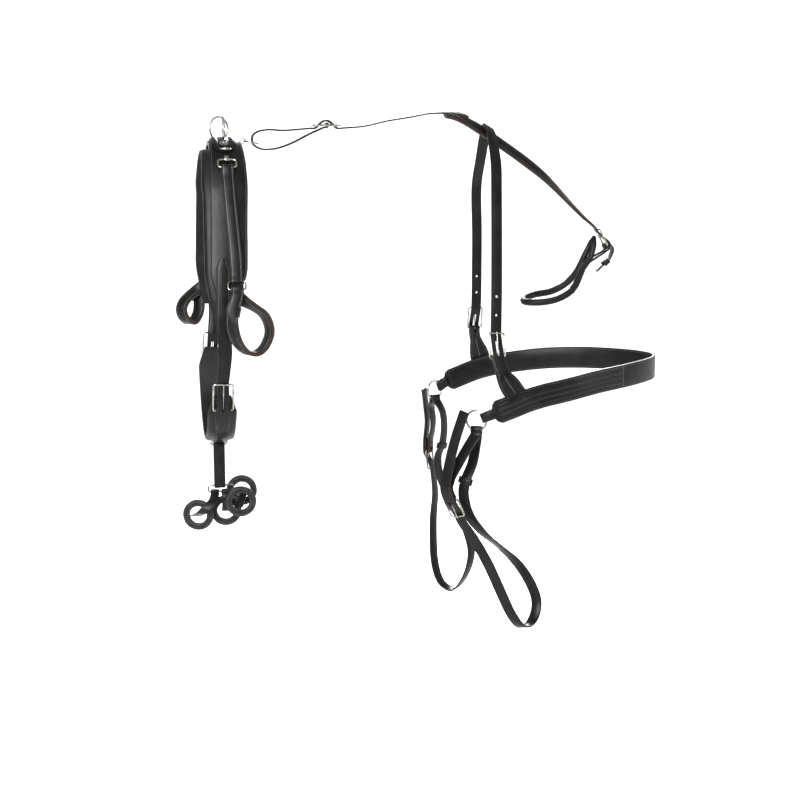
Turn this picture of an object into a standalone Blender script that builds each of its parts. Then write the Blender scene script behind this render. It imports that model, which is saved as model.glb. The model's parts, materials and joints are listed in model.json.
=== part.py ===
"""Pony driving harness, as if worn: saddle, tugs, girth, backstrap, crupper, hip strap, breeching, holdbacks.

Metres. +X runs from the head to the tail, the near side is -Y and +Z is up. The origin is on the ridge of
the horse's back, under the middle of the saddle. Straps are flat bars swept along routes. A place on a
route is a distance along it, a shift across it and a height above it, away from the horse.
"""

from math import ceil, cos, floor, pi, radians, sin

import bmesh
import bpy
from mathutils import Matrix, Vector

# Colours, as red, green and blue, then roughness and metallic
LEATHER = ((0.018, 0.018, 0.019), 0.38, 0.0)
PADDING = ((0.024, 0.023, 0.023), 0.55, 0.0)
NICKEL = ((0.78, 0.76, 0.72), 0.22, 1.0)
STEEL = ((0.32, 0.32, 0.34), 0.45, 1.0)
RUBBER = ((0.020, 0.020, 0.022), 0.60, 0.0)

TAILWARD = Vector((1, 0, 0))
FARWARD = Vector((0, 1, 0))
UPWARD = Vector((0, 0, 1))
NEAR, FAR = -1, 1
SIDES = {"near": NEAR, "far": FAR}

# Clearance between pieces that touch, and how far a cutter runs past what it cuts
GAP = 0.0004
OVERRUN = 0.0015

# Leather thicknesses and strap widths
STRAP_THICK = 0.0030
THIN_THICK = 0.0024
TUG_THICK = 0.0070
STRAP_WIDTH = 0.0185
TUG_STRAP_WIDTH = 0.0200
GIRTH_STRAP_WIDTH = 0.0250
DOCK_STRAP_WIDTH = 0.0160

# The horse's barrel under saddle and girth: half width, depth, how far its sides start below the ridge of
# the back, and how far the girth hangs forward
BARREL_HALF = 0.115
BARREL_DEPTH = 0.476
BARREL_SINK = 0.006
GIRTH_FORWARD = 0.011
# One side of the barrel from the spine to the belly: forward, outward and downward
BARREL_SHARES = (
    (0, 0, 0), (0, 0.20, 0.008), (0, 0.41, 0.045), (0, 0.62, 0.125), (0, 0.82, 0.290), (0, 0.92, 0.390),
    (-0.2, 0.99, 0.540), (-0.7, 0.99, 0.670), (-1, 0.93, 0.775), (-1, 0.78, 0.875), (-1, 0.50, 0.955),
    (-1, 0.20, 0.995), (-1, 0, 1),
)

# How far down each side, from the spine, pieces of the saddle start and end
SADDLE_REACH = 0.310
PANEL_TOP = 0.008
TREE_REACH = 0.105
SEAT_REACH = 0.044
TREE_FADE = 0.036

# Spacing of the sections of layered straps, and of those that twist
LAYER_STEP = 0.010
TWIST_STEP = 0.005

PANEL_WIDTH = 0.078
PANEL_THICK = 0.0125
SKIRT_WIDTH = 0.060
SKIRT_THICK = 0.0030
TREE_WIDTH = 0.044
TREE_THICK = 0.0032
TREE_SHIFT = 0.002
SEAT_WIDTH = 0.040
SEAT_THICK = 0.0055
SEAT_SHIFT = 0.004
# Outlines as shares of reach, then of width to the front and to the rear
PANEL_SHARES = (
    (0.02, -0.40, 0.42), (0.19, -0.44, 0.45), (0.30, -0.465, 0.47), (0.36, -0.445, 0.46), (0.59, -0.46, 0.45),
    (0.76, -0.47, 0.42), (0.82, -0.44, 0.34), (0.88, -0.39, 0.20), (0.94, -0.36, 0.10), (1, -0.28, 0.03),
)
SKIRT_SHARES = (
    (0, -0.31, 0.54), (0.19, -0.35, 0.62), (0.31, -0.39, 0.63), (0.59, -0.43, 0.56), (0.765, -0.48, 0.52),
    (0.815, -0.41, 0.35), (0.88, -0.32, 0.15), (1, -0.27, 0.04),
)
SEAT_SHARES = ((0, -0.5, 0.5), (0.70, -0.5, 0.5), (0.88, -0.42, 0.42), (1, -0.22, 0.22))
# Cross sections as shares of width and of thickness: a flat strap, a stuffed pad and the ridged seat
FLAT_SHARES = ((-0.5, -0.5), (0.5, -0.5), (0.5, 0.5), (-0.5, 0.5))
PAD_SHARES = (
    (-0.47, -0.5), (0.47, -0.5), (0.5, -0.2), (0.49, 0.12), (0.42, 0.36), (0.25, 0.48), (0, 0.5),
    (-0.25, 0.48), (-0.42, 0.36), (-0.49, 0.12), (-0.5, -0.2),
)
SEAT_RIDGE_SHARES = (
    (-0.5, -0.5), (0.5, -0.5), (0.5, 0.1), (0.40, 0.5), (0.28, 0.5), (0.22, 0.2), (0.12, 0.5),
    (-0.12, 0.5), (-0.22, 0.2), (-0.28, 0.5), (-0.40, 0.5), (-0.5, 0.1),
)

# Terrets
TERRET_RADIUS = 0.0195
TERRET_WIRE = 0.0018
TERRET_FOOT_RADIUS = 0.0075
TERRET_FOOT_HEIGHT = 0.0060
TERRET_NECK_RADIUS = 0.0034
TERRET_DOWN = 0.033
NEAR_TERRET_YAW = 8
FAR_TERRET_YAW = 55

# The dee on each side of the saddle, its clip, and the tug's strap and ring below it
CLIP_WIDTH = 0.0070
CLIP_THICK = 0.0012
CLIP_REACH = 0.0110
DEE_WIRE = 0.0019
DEE_WIDTH = 0.0290
DEE_HEIGHT = 0.0150
DEE_DOWN = 0.060
DEE_SHIFT = 0.006
TUG_RING_WIRE = 0.0015
TUG_RING_WIDTH = 0.0280
TUG_RING_HEIGHT = 0.0145
TUG_RING_DOWN = 0.250
TUG_RING_LEAN = 30
NEAR_TUG_DRIFT = 0.007
FAR_TUG_DRIFT = -0.022
# The tug's loop, from its ring: width and depth of its opening, and how far it hangs
TUG_LOOP_WIDTH = 0.056
TUG_LOOP_DEPTH = 0.016
TUG_LOOP_DROP = 0.104
# Tailward, outward and downward shares of these, then the strap's width direction: tailward and outward
NEAR_TUG_LOOP_SHARES = (
    (0, 0.35, 0.06, 1, 0), (-0.05, 0.48, 0.17, 1, 0), (-0.14, 0.66, 0.32, 1, 0.05),
    (-0.18, 0.72, 0.52, 0.9, 0.4),
    (-0.06, 0.58, 0.78, 0.7, 0.7), (0.20, 0.28, 0.96, 0.5, 0.85), (0.50, -0.05, 1.0, 0.45, 0.9),
    (0.76, -0.30, 0.90, 0.45, 0.9), (0.92, -0.38, 0.66, 0.5, 0.85), (0.78, -0.38, 0.42, 0.6, 0.8),
    (0.46, -0.36, 0.28, 0.7, 0.7), (0.18, -0.35, 0.18, 0.9, 0.35), (0.04, -0.35, 0.10, 1, 0.1),
    (0, -0.34, 0.05, 1, 0),
)
FAR_TUG_LOOP_SHARES = (
    (0, 0.35, 0.06, 1, 0), (-0.06, 0.50, 0.17, 1, 0), (-0.14, 0.62, 0.30, 0.97, -0.15),
    (-0.21, 0.62, 0.45, 0.9, -0.4),
    (-0.24, 0.50, 0.62, 0.85, -0.5), (-0.34, 0.25, 0.75, 0.83, -0.56), (-0.50, -0.15, 0.82, 0.83, -0.56),
    (-0.66, -0.75, 0.77, 0.83, -0.56), (-0.78, -1.15, 0.67, 0.83, -0.56), (-0.81, -1.25, 0.55, 0.83, -0.56),
    (-0.70, -0.95, 0.43, 0.85, -0.5), (-0.50, -0.42, 0.34, 0.92, -0.35), (-0.28, -0.15, 0.26, 0.97, -0.2),
    (-0.10, -0.18, 0.18, 1, -0.1), (-0.02, -0.28, 0.11, 1, 0), (0, -0.34, 0.05, 1, 0),
)
# Where the keeper sewn round the loop's first run starts and ends, as shares of the loop
TUG_KEEPER_SHARES = (0.344, 0.367, 0.390)

# Girth and its billets: how far the heel bars of its buckles lie below the saddle's ends
NEAR_GIRTH_BELOW = 0.147
FAR_GIRTH_BELOW = 0.096
GIRTH_WIDTH = 0.048
GIRTH_THICK = 0.0090
GIRTH_PAST_HEEL = 0.020
GIRTH_TAPER = 0.030
GIRTH_END_SHARE = 0.58
BILLET_TOP = 0.213
BILLET_SHIFT = 0.008
BILLET_NARROW = 0.019
BILLET_SHOULDER_UP = 0.052
BILLET_PAST_HEEL = 0.038
CHAPE_PAST_HEEL = 0.022

# Buckles: wire radius, clear width beyond the strap, and length between the bars
BUCKLE_WIRE = 0.0016
BUCKLE_SPARE = 0.0020
GIRTH_BUCKLE_LENGTH = 0.044
SMALL_BUCKLE_LENGTH = 0.033
TONGUE_WIRE = 0.0010
SLOT_SPARE = 0.0012
SLOT_SHARE = 0.66
KEEPER_THICK = 0.0018
KEEPER_LENGTH = 0.0110
KEEPER_SPARE = 0.0012

# Ring at the rear of the saddle, its staple, and the front loop of the backstrap with its slide
EYE_RADIUS = 0.0042
EYE_WIRE = 0.0014
EYE_OUT = 0.0395
EYE_UP = 0.0040
EYE_STEM_WIDTH = 0.0070
BACK_RING_RADIUS = 0.0125
BACK_RING_WIRE = 0.0014
BACK_RING_TILT = 9
BACK_START = 0.053
CROUP_REACH = 0.340
CROUP_RISE = 0.060
TAIL_REACH = 0.270
TAIL_DROP = 0.190
BACKSTRAP_THICK = 0.0060
BACKSTRAP_TWIST = 58
OVERLAP_REACH = 0.034
# Tailward and upward shares of reach and rise from the slide to the croup, then on to the crupper
SPINE_SHARES = ((0.44, 0.56), (0.56, 0.62), (0.67, 0.76), (0.78, 0.86), (0.90, 0.98), (1, 1))
TAIL_SHARES = (
    (0.10, 0.045), (0.21, 0.135), (0.35, 0.265), (0.52, 0.43), (0.66, 0.58), (0.86, 0.855), (1, 1.045),
)
UPPER_RUN_SHARES = ((0.25, 0.52), (0.16, 0.50), (0.085, 0.52), (0.035, 0.47))
FRONT_FOLD_SHARES = ((0.010, 0.38), (0.004, 0.25), (0.011, 0.11))
LOWER_RUN_SHARES = ((0.045, 0.0), (0.085, -0.02), (0.14, 0.03), (0.21, 0.18), (0.265, 0.34), (0.305, 0.45))
SLIDE_SHARE = 0.370
SLIDE_LENGTH = 0.044
SLIDE_WIRE = 0.0016
SLIDE_PLAY = 0.0014

# Hip strap and uptugs: where it crosses the backstrap, half its span, its drop and its sway
HIP_CROSS_SHARE = 0.28
HIP_TOP = 0.0040
HIP_SWAY = 0.040
# Outward, downward, near sway and far sway shares
HIP_SHARES = (
    (0, 0, 0, 0), (0.095, 0.020, 0, 0), (0.34, 0.135, -0.07, 0.05), (0.568, 0.245, -0.32, 0.13),
    (0.733, 0.428, -0.50, 0.35), (0.819, 0.613, -0.59, 0.45), (0.87, 0.726, -0.66, 0.50),
    (0.905, 0.800, -0.70, 0.50), (0.935, 0.865, -0.66, 0.52), (0.965, 0.920, -0.46, 0.66),
    (0.985, 0.960, -0.20, 0.80), (1, 1, 0.10, 0.90),
)
UPTUG_REACH = 0.072
HIP_BUCKLE_LENGTH = 0.040
UPTUG_FOOT_WIDTH = 0.036
UPTUG_CLEAR = 0.0030

# Breeching: half width, reach, height and thickness, and how its middle line rises to the rear
BREECHING_HALF = 0.165
BREECHING_START = 0.404
BREECHING_REACH = 0.366
BREECHING_DROP = 0.445
BREECHING_RISE = 0.061
BREECHING_HEIGHT = 0.040
BREECHING_THICK = 0.0050
BREECHING_BOW_SHARE = 1.045
BREECHING_CHAPE_WIDTH = 0.0165
# Tailward, outward and upward shares, from the ring to the middle of the rear
BREECHING_SHARES = (
    (0.125, BREECHING_BOW_SHARE, 0.33), (0.26, BREECHING_BOW_SHARE, 0.61), (0.43, 0.99, 0.79),
    (0.59, 0.86, 0.92),
    (0.755, 0.67, 0.98), (0.89, 0.43, 1.0), (0.97, 0.21, 1.0), (1, 0, 1.0),
)
BREECHING_RING_RADIUS = 0.0172
BREECHING_RING_WIRE = 0.0018
BREECHING_RING_YAW = 30
BREECHING_LIFT = 24
CHAPE_REACH = 0.014
CHAPE_FLARE = 0.010
# The uptugs' feet lie on the outside of the breeching, just above the level of its rings
HIP_FOOT_UP = 0.005
HIP_DROP = BREECHING_DROP - HIP_FOOT_UP
HIP_HALF = BREECHING_HALF * BREECHING_BOW_SHARE + (BREECHING_THICK + STRAP_THICK) / 2 + UPTUG_CLEAR

# Holdbacks, from the middle of each ring: reach tailward, drop and how far the strap stands off outward
HOLDBACK_REACH = 0.120
HOLDBACK_DROP = 0.360
HOLDBACK_DEPTH = 0.020
# Tailward, outward and downward shares, then the width direction: tailward, outward and upward.
# Each strap runs from its buckle up to the ring, back down, round the big loop and up to the buckle.
NEAR_RISE_SHARES = (
    (-0.37, 0.50, 0.25, 0.68, 0.70, 0.20), (-0.28, 0.70, 0.19, 0.70, 0.70, 0.15),
    (-0.16, 0.70, 0.12, 0.72, 0.68, 0.05),
)
NEAR_LOOP_SHARES = (
    (0.02, -0.75, 0.13, 0.72, 0.68, 0), (-0.03, -0.60, 0.21, 0.75, 0.65, 0.1),
    (-0.13, -0.50, 0.29, 0.8, 0.5, 0.1),
    (-0.155, -0.50, 0.36, 0.85, 0.4, 0), (-0.07, -0.60, 0.455, 0.85, 0.4, -0.2),
    (0.13, -0.80, 0.545, 0.8, 0.4, -0.3),
    (0.40, -1.0, 0.625, 0.75, 0.4, -0.4), (0.66, -1.0, 0.71, 0.8, 0.4, -0.3),
    (0.87, -0.9, 0.82, 0.85, 0.5, 0),
    (0.94, -0.6, 0.91, 0.85, 0.55, 0.1), (0.85, -0.1, 0.985, 0.8, 0.6, 0.15),
    (0.68, 0.50, 1.0, 0.75, 0.65, 0.2),
    (0.50, 0.90, 0.93, 0.75, 0.55, 0.35), (0.33, 0.90, 0.81, 0.75, 0.5, 0.4),
    (0.15, 0.70, 0.675, 0.75, 0.5, 0.35),
    (-0.04, 0.40, 0.56, 0.72, 0.55, 0.3), (-0.21, 0.25, 0.475, 0.68, 0.65, 0.22),
)
NEAR_HEEL_SHARES = (-0.365, 0.45, 0.358)
NEAR_TIP_SHARES = (
    (-0.42, 0.51, 0.305), (-0.41, 0.60, 0.25), (-0.36, 0.72, 0.18), (-0.28, 0.80, 0.07), (-0.16, 0.82, -0.05),
)
FAR_RISE_SHARES = (
    (0.01, 1.0, 0.21, 0.62, 0.75, 0), (0.01, 0.93, 0.16, 0.66, 0.72, 0), (-0.02, 0.80, 0.10, 0.70, 0.70, 0),
)
FAR_LOOP_SHARES = (
    (0.10, -0.70, 0.11, 0.72, 0.68, 0), (0.13, -0.60, 0.20, 0.75, 0.65, 0),
    (0.10, -0.50, 0.29, 0.8, 0.55, 0.05),
    (0.04, -0.40, 0.35, 0.8, 0.5, 0), (0.06, -0.50, 0.44, 0.85, 0.45, -0.1),
    (0.20, -0.70, 0.555, 0.8, 0.45, -0.3),
    (0.38, -0.90, 0.665, 0.8, 0.4, -0.3), (0.51, -1.0, 0.77, 0.85, 0.4, -0.1),
    (0.57, -0.90, 0.87, 0.85, 0.5, 0.05),
    (0.50, -0.60, 0.99, 0.8, 0.55, 0.2), (0.33, 0.0, 1.08, 0.75, 0.65, 0.1), (0.15, 0.60, 1.05, 0.8, 0.6, 0),
    (0.05, 0.85, 0.95, 0.85, 0.5, 0), (0.02, 0.90, 0.82, 0.85, 0.5, 0), (0.02, 0.85, 0.68, 0.8, 0.55, 0),
    (0.04, 0.70, 0.56, 0.7, 0.65, 0), (0.01, 0.55, 0.475, 0.62, 0.75, 0),
)
FAR_HEEL_SHARES = (-0.03, 0.85, 0.330)
FAR_TIP_SHARES = ((-0.02, 0.98, 0.24), (0.0, 1.0, 0.17), (-0.03, 0.95, 0.08), (-0.06, 0.90, 0.0))

# Crupper: how far its strap bends forward past the buckle, then its stuffed loop, which starts under the
# buckle: how far up, and how much room for its swing
CRUPPER_TURN = 20
CRUPPER_BEND = 72
CRUPPER_BEND_AT = 0.0135
CRUPPER_TAB = 0.022
CRUPPER_CLEAR = 0.0036
# How far the loop under the tail reaches down and forward, its half width and stuffing
CRUPPER_REACH = 0.1266
CRUPPER_DROP = 0.1083
CRUPPER_HALF = 0.028
CRUPPER_TUBE = 0.0062
CRUPPER_YOKE = 0.0046
# Tailward, outward and downward shares from its top to its middle, near side and far side
CRUPPER_NEAR_SHARES = (
    (-0.02, 0.28, 0.12), (-0.07, 0.30, 0.32), (-0.18, 0.42, 0.475), (-0.28, 0.76, 0.68), (-0.37, 0.93, 0.82),
    (-0.50, 0.97, 0.92), (-0.656, 0.97, 0.98), (-0.85, 0.84, 1.01), (-0.965, 0.45, 1.015), (-1, 0, 1.01),
)
CRUPPER_FAR_SHARES = (
    (-0.03, 0.28, 0.10), (-0.10, 0.30, 0.27), (-0.19, 0.50, 0.53), (-0.31, 0.86, 0.74), (-0.43, 0.97, 0.83),
    (-0.557, 0.97, 0.89), (-0.70, 0.93, 0.915), (-0.85, 0.80, 0.94), (-0.965, 0.42, 0.98),
)
# Tailward and downward shares where the two layers of the buckle's chape are sewn into the loop
CHAPE_SEAT_SHARES = ((-0.075, 0.33), (-0.11, 0.42))
CRUPPER_TIP_REACH = 0.054
CRUPPER_KEEPER_DOWN = 0.030

# Under the girth: staple, drop strap, link, and the rubber rings on their straps
STAPLE_WIDTH = 0.0285
STAPLE_WIRE = 0.0016
DROP_STRAP_WIDTH = 0.0190
DROP_REACH = 0.072
LINK_WIDTH = 0.0430
LINK_HEIGHT = 0.0110
LINK_WIRE = 0.0016
LINK_SHIFT = 0.002
RING_STRAP_WIDTH = 0.0150
RING_STRAP_THICK = 0.0024
CLUSTER_REACH = 0.040
CLUSTER_DEPTH = 0.020
CLUSTER_DROP = 0.036
RUBBER_OUTER = 0.0265
RUBBER_BORE = 0.0150
RUBBER_THICK = 0.0090
# Radial share from bore to outer, then height share of half the thickness: a stepped, grooved ring
RUBBER_SHARES = (
    (0, 0.45), (0.16, 0.80), (0.36, 0.80), (0.44, 0.50), (0.54, 0.95), (0.80, 1), (1, 0.55),
    (1, -0.55), (0.80, -1), (0.54, -0.95), (0.44, -0.50), (0.36, -0.80), (0.16, -0.80), (0, -0.45),
)
# Tailward, farward and downward shares from the middle of the link's lower bar
STRAP_A_SHIFT_SHARE = -0.245
STRAP_B_SHIFT_SHARE = 0.187
STRAP_A_SHARES = (
    (-0.325, -0.80, 0.14), (-0.475, -1.45, 0.33), (-0.80, -1.60, 0.69), (-1.02, -0.70, 1.0),
    (-1.15, 0.15, 1.17),
    (-1.22, 0.65, 1.22),
)
STRAP_B_SHARES = (
    (0.20, -0.40, 0.17), (0.20, -0.45, 0.47), (0.20, -0.35, 0.75), (0.20, 0, 0.94), (0.22, 0.55, 1.02),
    (0.33, 1.10, 0.95), (0.50, 1.45, 0.70), (0.75, 1.45, 0.35), (0.92, 0.70, 0.08), (0.95, 0.10, 0.11),
    (0.90, -0.40, 0.25), (0.80, -0.90, 0.42), (0.72, -1.40, 0.53), (0.67, -1.80, 0.61),
)
# Width directions of the second strap at each of its places: tailward, farward and upward
STRAP_B_WIDE_SHARES = (
    (1, 0, 0), (1, 0, 0), (1, 0, 0), (1, 0, 0), (0.97, -0.1, 0), (0.95, -0.15, 0.1), (0.9, -0.1, 0.35),
    (0.8, 0.1, 0.6), (0.8, 0.1, 0.6), (0.8, 0.1, 0.6), (0.85, 0, 0.5), (0.9, -0.1, 0.4), (0.9, -0.1, 0.4),
    (0.9, -0.1, 0.4),
)
# Middle of each rubber ring, then its axis: tailward, farward and downward
RUBBER_PLACE_SHARES = {
    "a": (-1.02, -0.70, 1.0, 0.30, 0.95, 0), "b": (0.92, 0.70, 0.08, 0, 1, 0),
    "c": (0.80, -0.90, 0.42, 0, 1, 0),
    "d": (0.20, 0, 0.94, 0, 1, 0),
}
STRAP_A_WIDE_SHARES = (0.95, -0.30, 0)


def material(name, look):
    """A Principled material with this colour, roughness and metallic value."""
    colour, roughness, metallic = look
    made = bpy.data.materials.new(name)
    made.use_nodes = True
    shader = made.node_tree.nodes["Principled BSDF"]
    shader.inputs["Base Color"].default_value = (*colour, 1)
    shader.inputs["Roughness"].default_value = roughness
    shader.inputs["Metallic"].default_value = metallic
    return made


def solid(name, look, rings, closed=False, rounded=False):
    """A closed body through rings of points. Its ends are capped unless the last ring meets the first."""
    shape = bmesh.new()
    rows = [[shape.verts.new(point) for point in ring] for ring in rings]
    pairs = list(zip(rows, rows[1:]))
    if closed:
        pairs.append((rows[-1], rows[0]))
    for row, following in pairs:
        for i in range(len(row)):
            j = (i + 1) % len(row)
            shape.faces.new((row[i], row[j], following[j], following[i]))
    if not closed:
        shape.faces.new(rows[0])
        shape.faces.new(rows[-1])
    bmesh.ops.recalc_face_normals(shape, faces=shape.faces)
    mesh = bpy.data.meshes.new(name)
    shape.to_mesh(mesh)
    shape.free()
    if rounded:
        mesh.shade_smooth()
        mesh.set_sharp_from_angle(angle=radians(40))
    mesh.materials.append(material(name, look))
    made = bpy.data.objects.new(name, mesh)
    bpy.context.scene.collection.objects.link(made)
    return made


def hide(helper):
    """Keep a cutter or a joined shape out of the model itself."""
    helper.hide_render = True
    helper.display_type = "WIRE"


def boolean(target, helper, operation):
    hide(helper)
    step = target.modifiers.new(helper.name, "BOOLEAN")
    step.operation = operation
    step.object = helper
    step.solver = "EXACT"


def pivot(moving, place):
    """Put an object's origin on its joint, leaving its shape where it is."""
    moving.data.transform(Matrix.Translation(-place))
    moving.location = place


def flow(places, steps):
    """Points on a smooth curve through places, with the share of the way between two places at each."""
    spans = [(after - before).length for before, after in zip(places, places[1:])]
    slopes = []
    for i in range(len(places)):
        before, after = max(i - 1, 0), min(i + 1, len(places) - 1)
        slopes.append((places[after] - places[before]) / sum(spans[before:after]))
    points = []
    for i, span in enumerate(spans):
        for step in range(steps):
            t = step / steps
            rise = t * t * (3 - 2 * t)
            leave = t * (1 - t) * (1 - t) * span
            arrive = t * t * (t - 1) * span
            point = places[i].lerp(places[i + 1], rise) + slopes[i] * leave + slopes[i + 1] * arrive
            points.append((point, i + t))
    points.append((places[-1], len(places) - 1))
    return points


def between(values, place):
    """The value at a place counted in steps along a list, between its neighbours."""
    i = min(max(int(place), 0), len(values) - 2)
    share = place - i
    return values[i] * (1 - share) + values[i + 1] * share


def along_table(table, place):
    """A row of a table whose first column rises, worked out between the rows around a place."""
    i = 0
    while i < len(table) - 2 and table[i + 1][0] < place:
        i += 1
    low, high = table[i], table[i + 1]
    share = min(max((place - low[0]) / (high[0] - low[0]), 0), 1)
    return [a + (b - a) * share for a, b in zip(low[1:], high[1:])]


def frame(tangent, across):
    """Unit directions along, across and out of a strap, from its rough width direction."""
    along = tangent.normalized()
    wide = (across - along * across.dot(along)).normalized()
    return along, wide, wide.cross(along)


class Route:
    """A smooth line through places. Distances run from its start, or from its middle."""

    def __init__(self, places, acrosses, turn=1, steps=4, from_middle=False):
        line = flow(places, steps)
        self.points = [point for point, _ in line]
        self.acrosses = [between(acrosses, place) for _, place in line]
        self.turn = turn
        self.reach = [0.0]
        for before, after in zip(self.points, self.points[1:]):
            self.reach.append(self.reach[-1] + (after - before).length)
        self.marks = self.reach[::steps]
        self.offset = self.reach[-1] / 2 if from_middle else 0.0

    def at(self, distance):
        """The point at a distance, and the directions along, across and outward there."""
        want = distance + self.offset
        i = 0
        while i < len(self.points) - 2 and self.reach[i + 1] < want:
            i += 1
        share = (want - self.reach[i]) / (self.reach[i + 1] - self.reach[i])
        point = self.points[i] + (self.points[i + 1] - self.points[i]) * share
        near, last = min(max(share, 0), 1), len(self.points) - 1
        slopes = []
        for j in (i, i + 1):
            slopes.append((self.points[min(j + 1, last)] - self.points[max(j - 1, 0)]).normalized())
        tangent = slopes[0].lerp(slopes[1], near)
        along, across, out = frame(tangent, self.acrosses[i].lerp(self.acrosses[i + 1], near))
        return point, along, across, out * self.turn

    def place(self, distance, shift=0.0, height=0.0):
        point, _, across, out = self.at(distance)
        return point + across * shift + out * height


def ribbon(name, look, centres, acrosses, edges, thick, section=FLAT_SHARES, closed=False, rounded=False):
    """A strap through centres. Its edges are front and rear shifts; they and its thickness may change."""
    count = len(centres)
    rings = []
    for i, centre in enumerate(centres):
        before = centres[i - 1] if closed or i else centre
        after = centres[(i + 1) % count] if closed or i < count - 1 else centre
        _, across, out = frame(after - before, acrosses[i])
        front, rear = edges[i]
        width, middle = rear - front, (rear + front) / 2
        ring = []
        for wide_share, high_share in section:
            wide = across * (middle + width * wide_share)
            ring.append(centre + wide + out * (thick[i] * high_share))
        rings.append(ring)
    return solid(name, look, rings, closed, rounded)


def strap(name, look, centres, acrosses, width, thick, closed=False):
    """A strap of one width and thickness."""
    count = len(centres)
    edges = [(-width / 2, width / 2)] * count
    return ribbon(name, look, centres, acrosses, edges, [thick] * count, closed=closed)


def on_route(route, run):
    """Centres and width directions on a route, from distances and heights."""
    centres = [route.place(distance, 0, height) for distance, height in run]
    return centres, [route.at(distance)[2] for distance, _ in run]


def wire(name, look, path, face, radius, sides=6, closed=True):
    """A round bar along a flat path, whose plane faces one way."""
    count = len(path)
    rings = []
    for i, centre in enumerate(path):
        before = path[i - 1] if closed or i else centre
        after = path[(i + 1) % count] if closed or i < count - 1 else centre
        _, up, out = frame(after - before, face)
        ring = []
        for side in range(sides):
            turn = 2 * pi * (side + 0.5) / sides
            ring.append(centre + (up * cos(turn) + out * sin(turn)) * radius)
        rings.append(ring)
    return solid(name, look, rings, closed, True)


def circle(middle, first, second, radius, count):
    """Points round a circle spanned by two directions."""
    turns = [2 * pi * i / count for i in range(count)]
    return [middle + (first * cos(turn) + second * sin(turn)) * radius for turn in turns]


def oblong(reach, width, corner, steps=3):
    """A rounded rectangle from 0 to reach along and centred across, as pairs of distances."""
    points = []
    corners = ((reach, width / 2, 0), (0, width / 2, 1), (0, -width / 2, 2), (reach, -width / 2, 3))
    for end, side, quarter in corners:
        inward = end - corner if end else corner
        beside = side - corner if side > 0 else side + corner
        for step in range(steps + 1):
            turn = (quarter + step / steps) * pi / 2
            points.append((inward + corner * cos(turn), beside + corner * sin(turn)))
    return points


def fold(bar, height, radius, way, slack=0.0, steps=6):
    """A half turn round a bar, from the layer below it to the layer above. Way is the side it bulges to."""
    points = []
    for step in range(steps + 1):
        turn = pi * step / steps - pi / 2
        points.append((bar + way * (slack + radius * cos(turn)), height + radius * sin(turn)))
    return points


def steps_between(start, end, count):
    """Evenly spaced distances from a start to an end."""
    return [start + (end - start) * i / count for i in range(count + 1)]


def wrap_radius(bar, thick):
    """Radius of the middle of a layer that is wrapped round a bar."""
    return bar + GAP + thick / 2


BAR_WRAP = wrap_radius(BUCKLE_WIRE, STRAP_THICK)
BILLET_OVER = BAR_WRAP + STRAP_THICK + GAP
TONGUE_LIFT = BUCKLE_WIRE + GAP + TONGUE_WIRE


def buckle_frame(name, route, heel, way, length, width, height):
    """A buckle's wire on a route, from its heel bar to its front bar."""
    outer = width + 2 * (BUCKLE_SPARE + BUCKLE_WIRE)
    path = []
    for reach, shift in oblong(length, outer, 2 * BUCKLE_WIRE):
        path.append(route.place(heel + way * reach, shift, height))
    face = route.at(heel + way * length / 2)[3]
    return wire(name, NICKEL, path, face, BUCKLE_WIRE)


def buckle_tongue(name, route, heel, way, length, height):
    """A tongue that wraps the heel bar and rests on the front bar. Its origin is on the heel bar."""
    run = [(heel + way * reach, height + lift) for reach, lift in fold(0, 0, TONGUE_LIFT, -1)]
    run.append((heel + way * (length + BUCKLE_WIRE), height + TONGUE_LIFT))
    path = [route.place(distance, 0, lift) for distance, lift in run]
    made = wire(name, NICKEL, path, route.at(heel)[2], TONGUE_WIRE, closed=False)
    pivot(made, route.place(heel, 0, height))
    return made


def slot(target, route, start, end, height, depth):
    """Cut a slot for a tongue through a strap, between two distances on its route."""
    half = TONGUE_WIRE + SLOT_SPARE
    rings = []
    for distance in (start, (start + end) / 2, end):
        rings.append([
            route.place(distance, half * wide, height + depth * high)
            for wide, high in ((-1, -1), (1, -1), (1, 1), (-1, 1))
        ])
    cutter = solid(f"{target.name}_slot", look=STEEL, rings=rings)
    boolean(target, cutter, "DIFFERENCE")


def chape_slot(target, route, heel, way, height):
    """The slot where a tongue wraps the heel bar inside the chape's fold."""
    depth = BAR_WRAP + STRAP_THICK
    slot(target, route, heel - way * BAR_WRAP * 2, heel + way * (depth + OVERRUN), height, depth)


def billet_run(heel, way, length, height, tip):
    """A strap's heights through a buckle: behind its front bar, over its heel bar and on to its tip."""
    front = heel + way * length
    behind, over = height - BAR_WRAP, height + BILLET_OVER
    clear = 2 * BUCKLE_WIRE
    past = [0, CHAPE_PAST_HEEL / 2] + steps_between(CHAPE_PAST_HEEL, tip, 3)
    return [
        (front + way * clear, behind), (front - way * clear, behind), (heel + way * clear, over),
    ] + [(heel - way * reach, over) for reach in past]


def chape_run(heel, way, height):
    """A strap's heights from the end of its chape round a buckle's heel bar."""
    end = [(heel - way * reach, height + BAR_WRAP) for reach in (CHAPE_PAST_HEEL, CHAPE_PAST_HEEL / 2)]
    return end + fold(heel, height, BAR_WRAP, way)[::-1]


def billet_slot(target, route, heel, way, length, height):
    """The long hole in which a tongue passes through a billet and can lift."""
    depth = BILLET_OVER + STRAP_THICK
    slot(target, route, heel + way * BUCKLE_WIRE, heel + way * length * SLOT_SHARE, height, depth)


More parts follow.
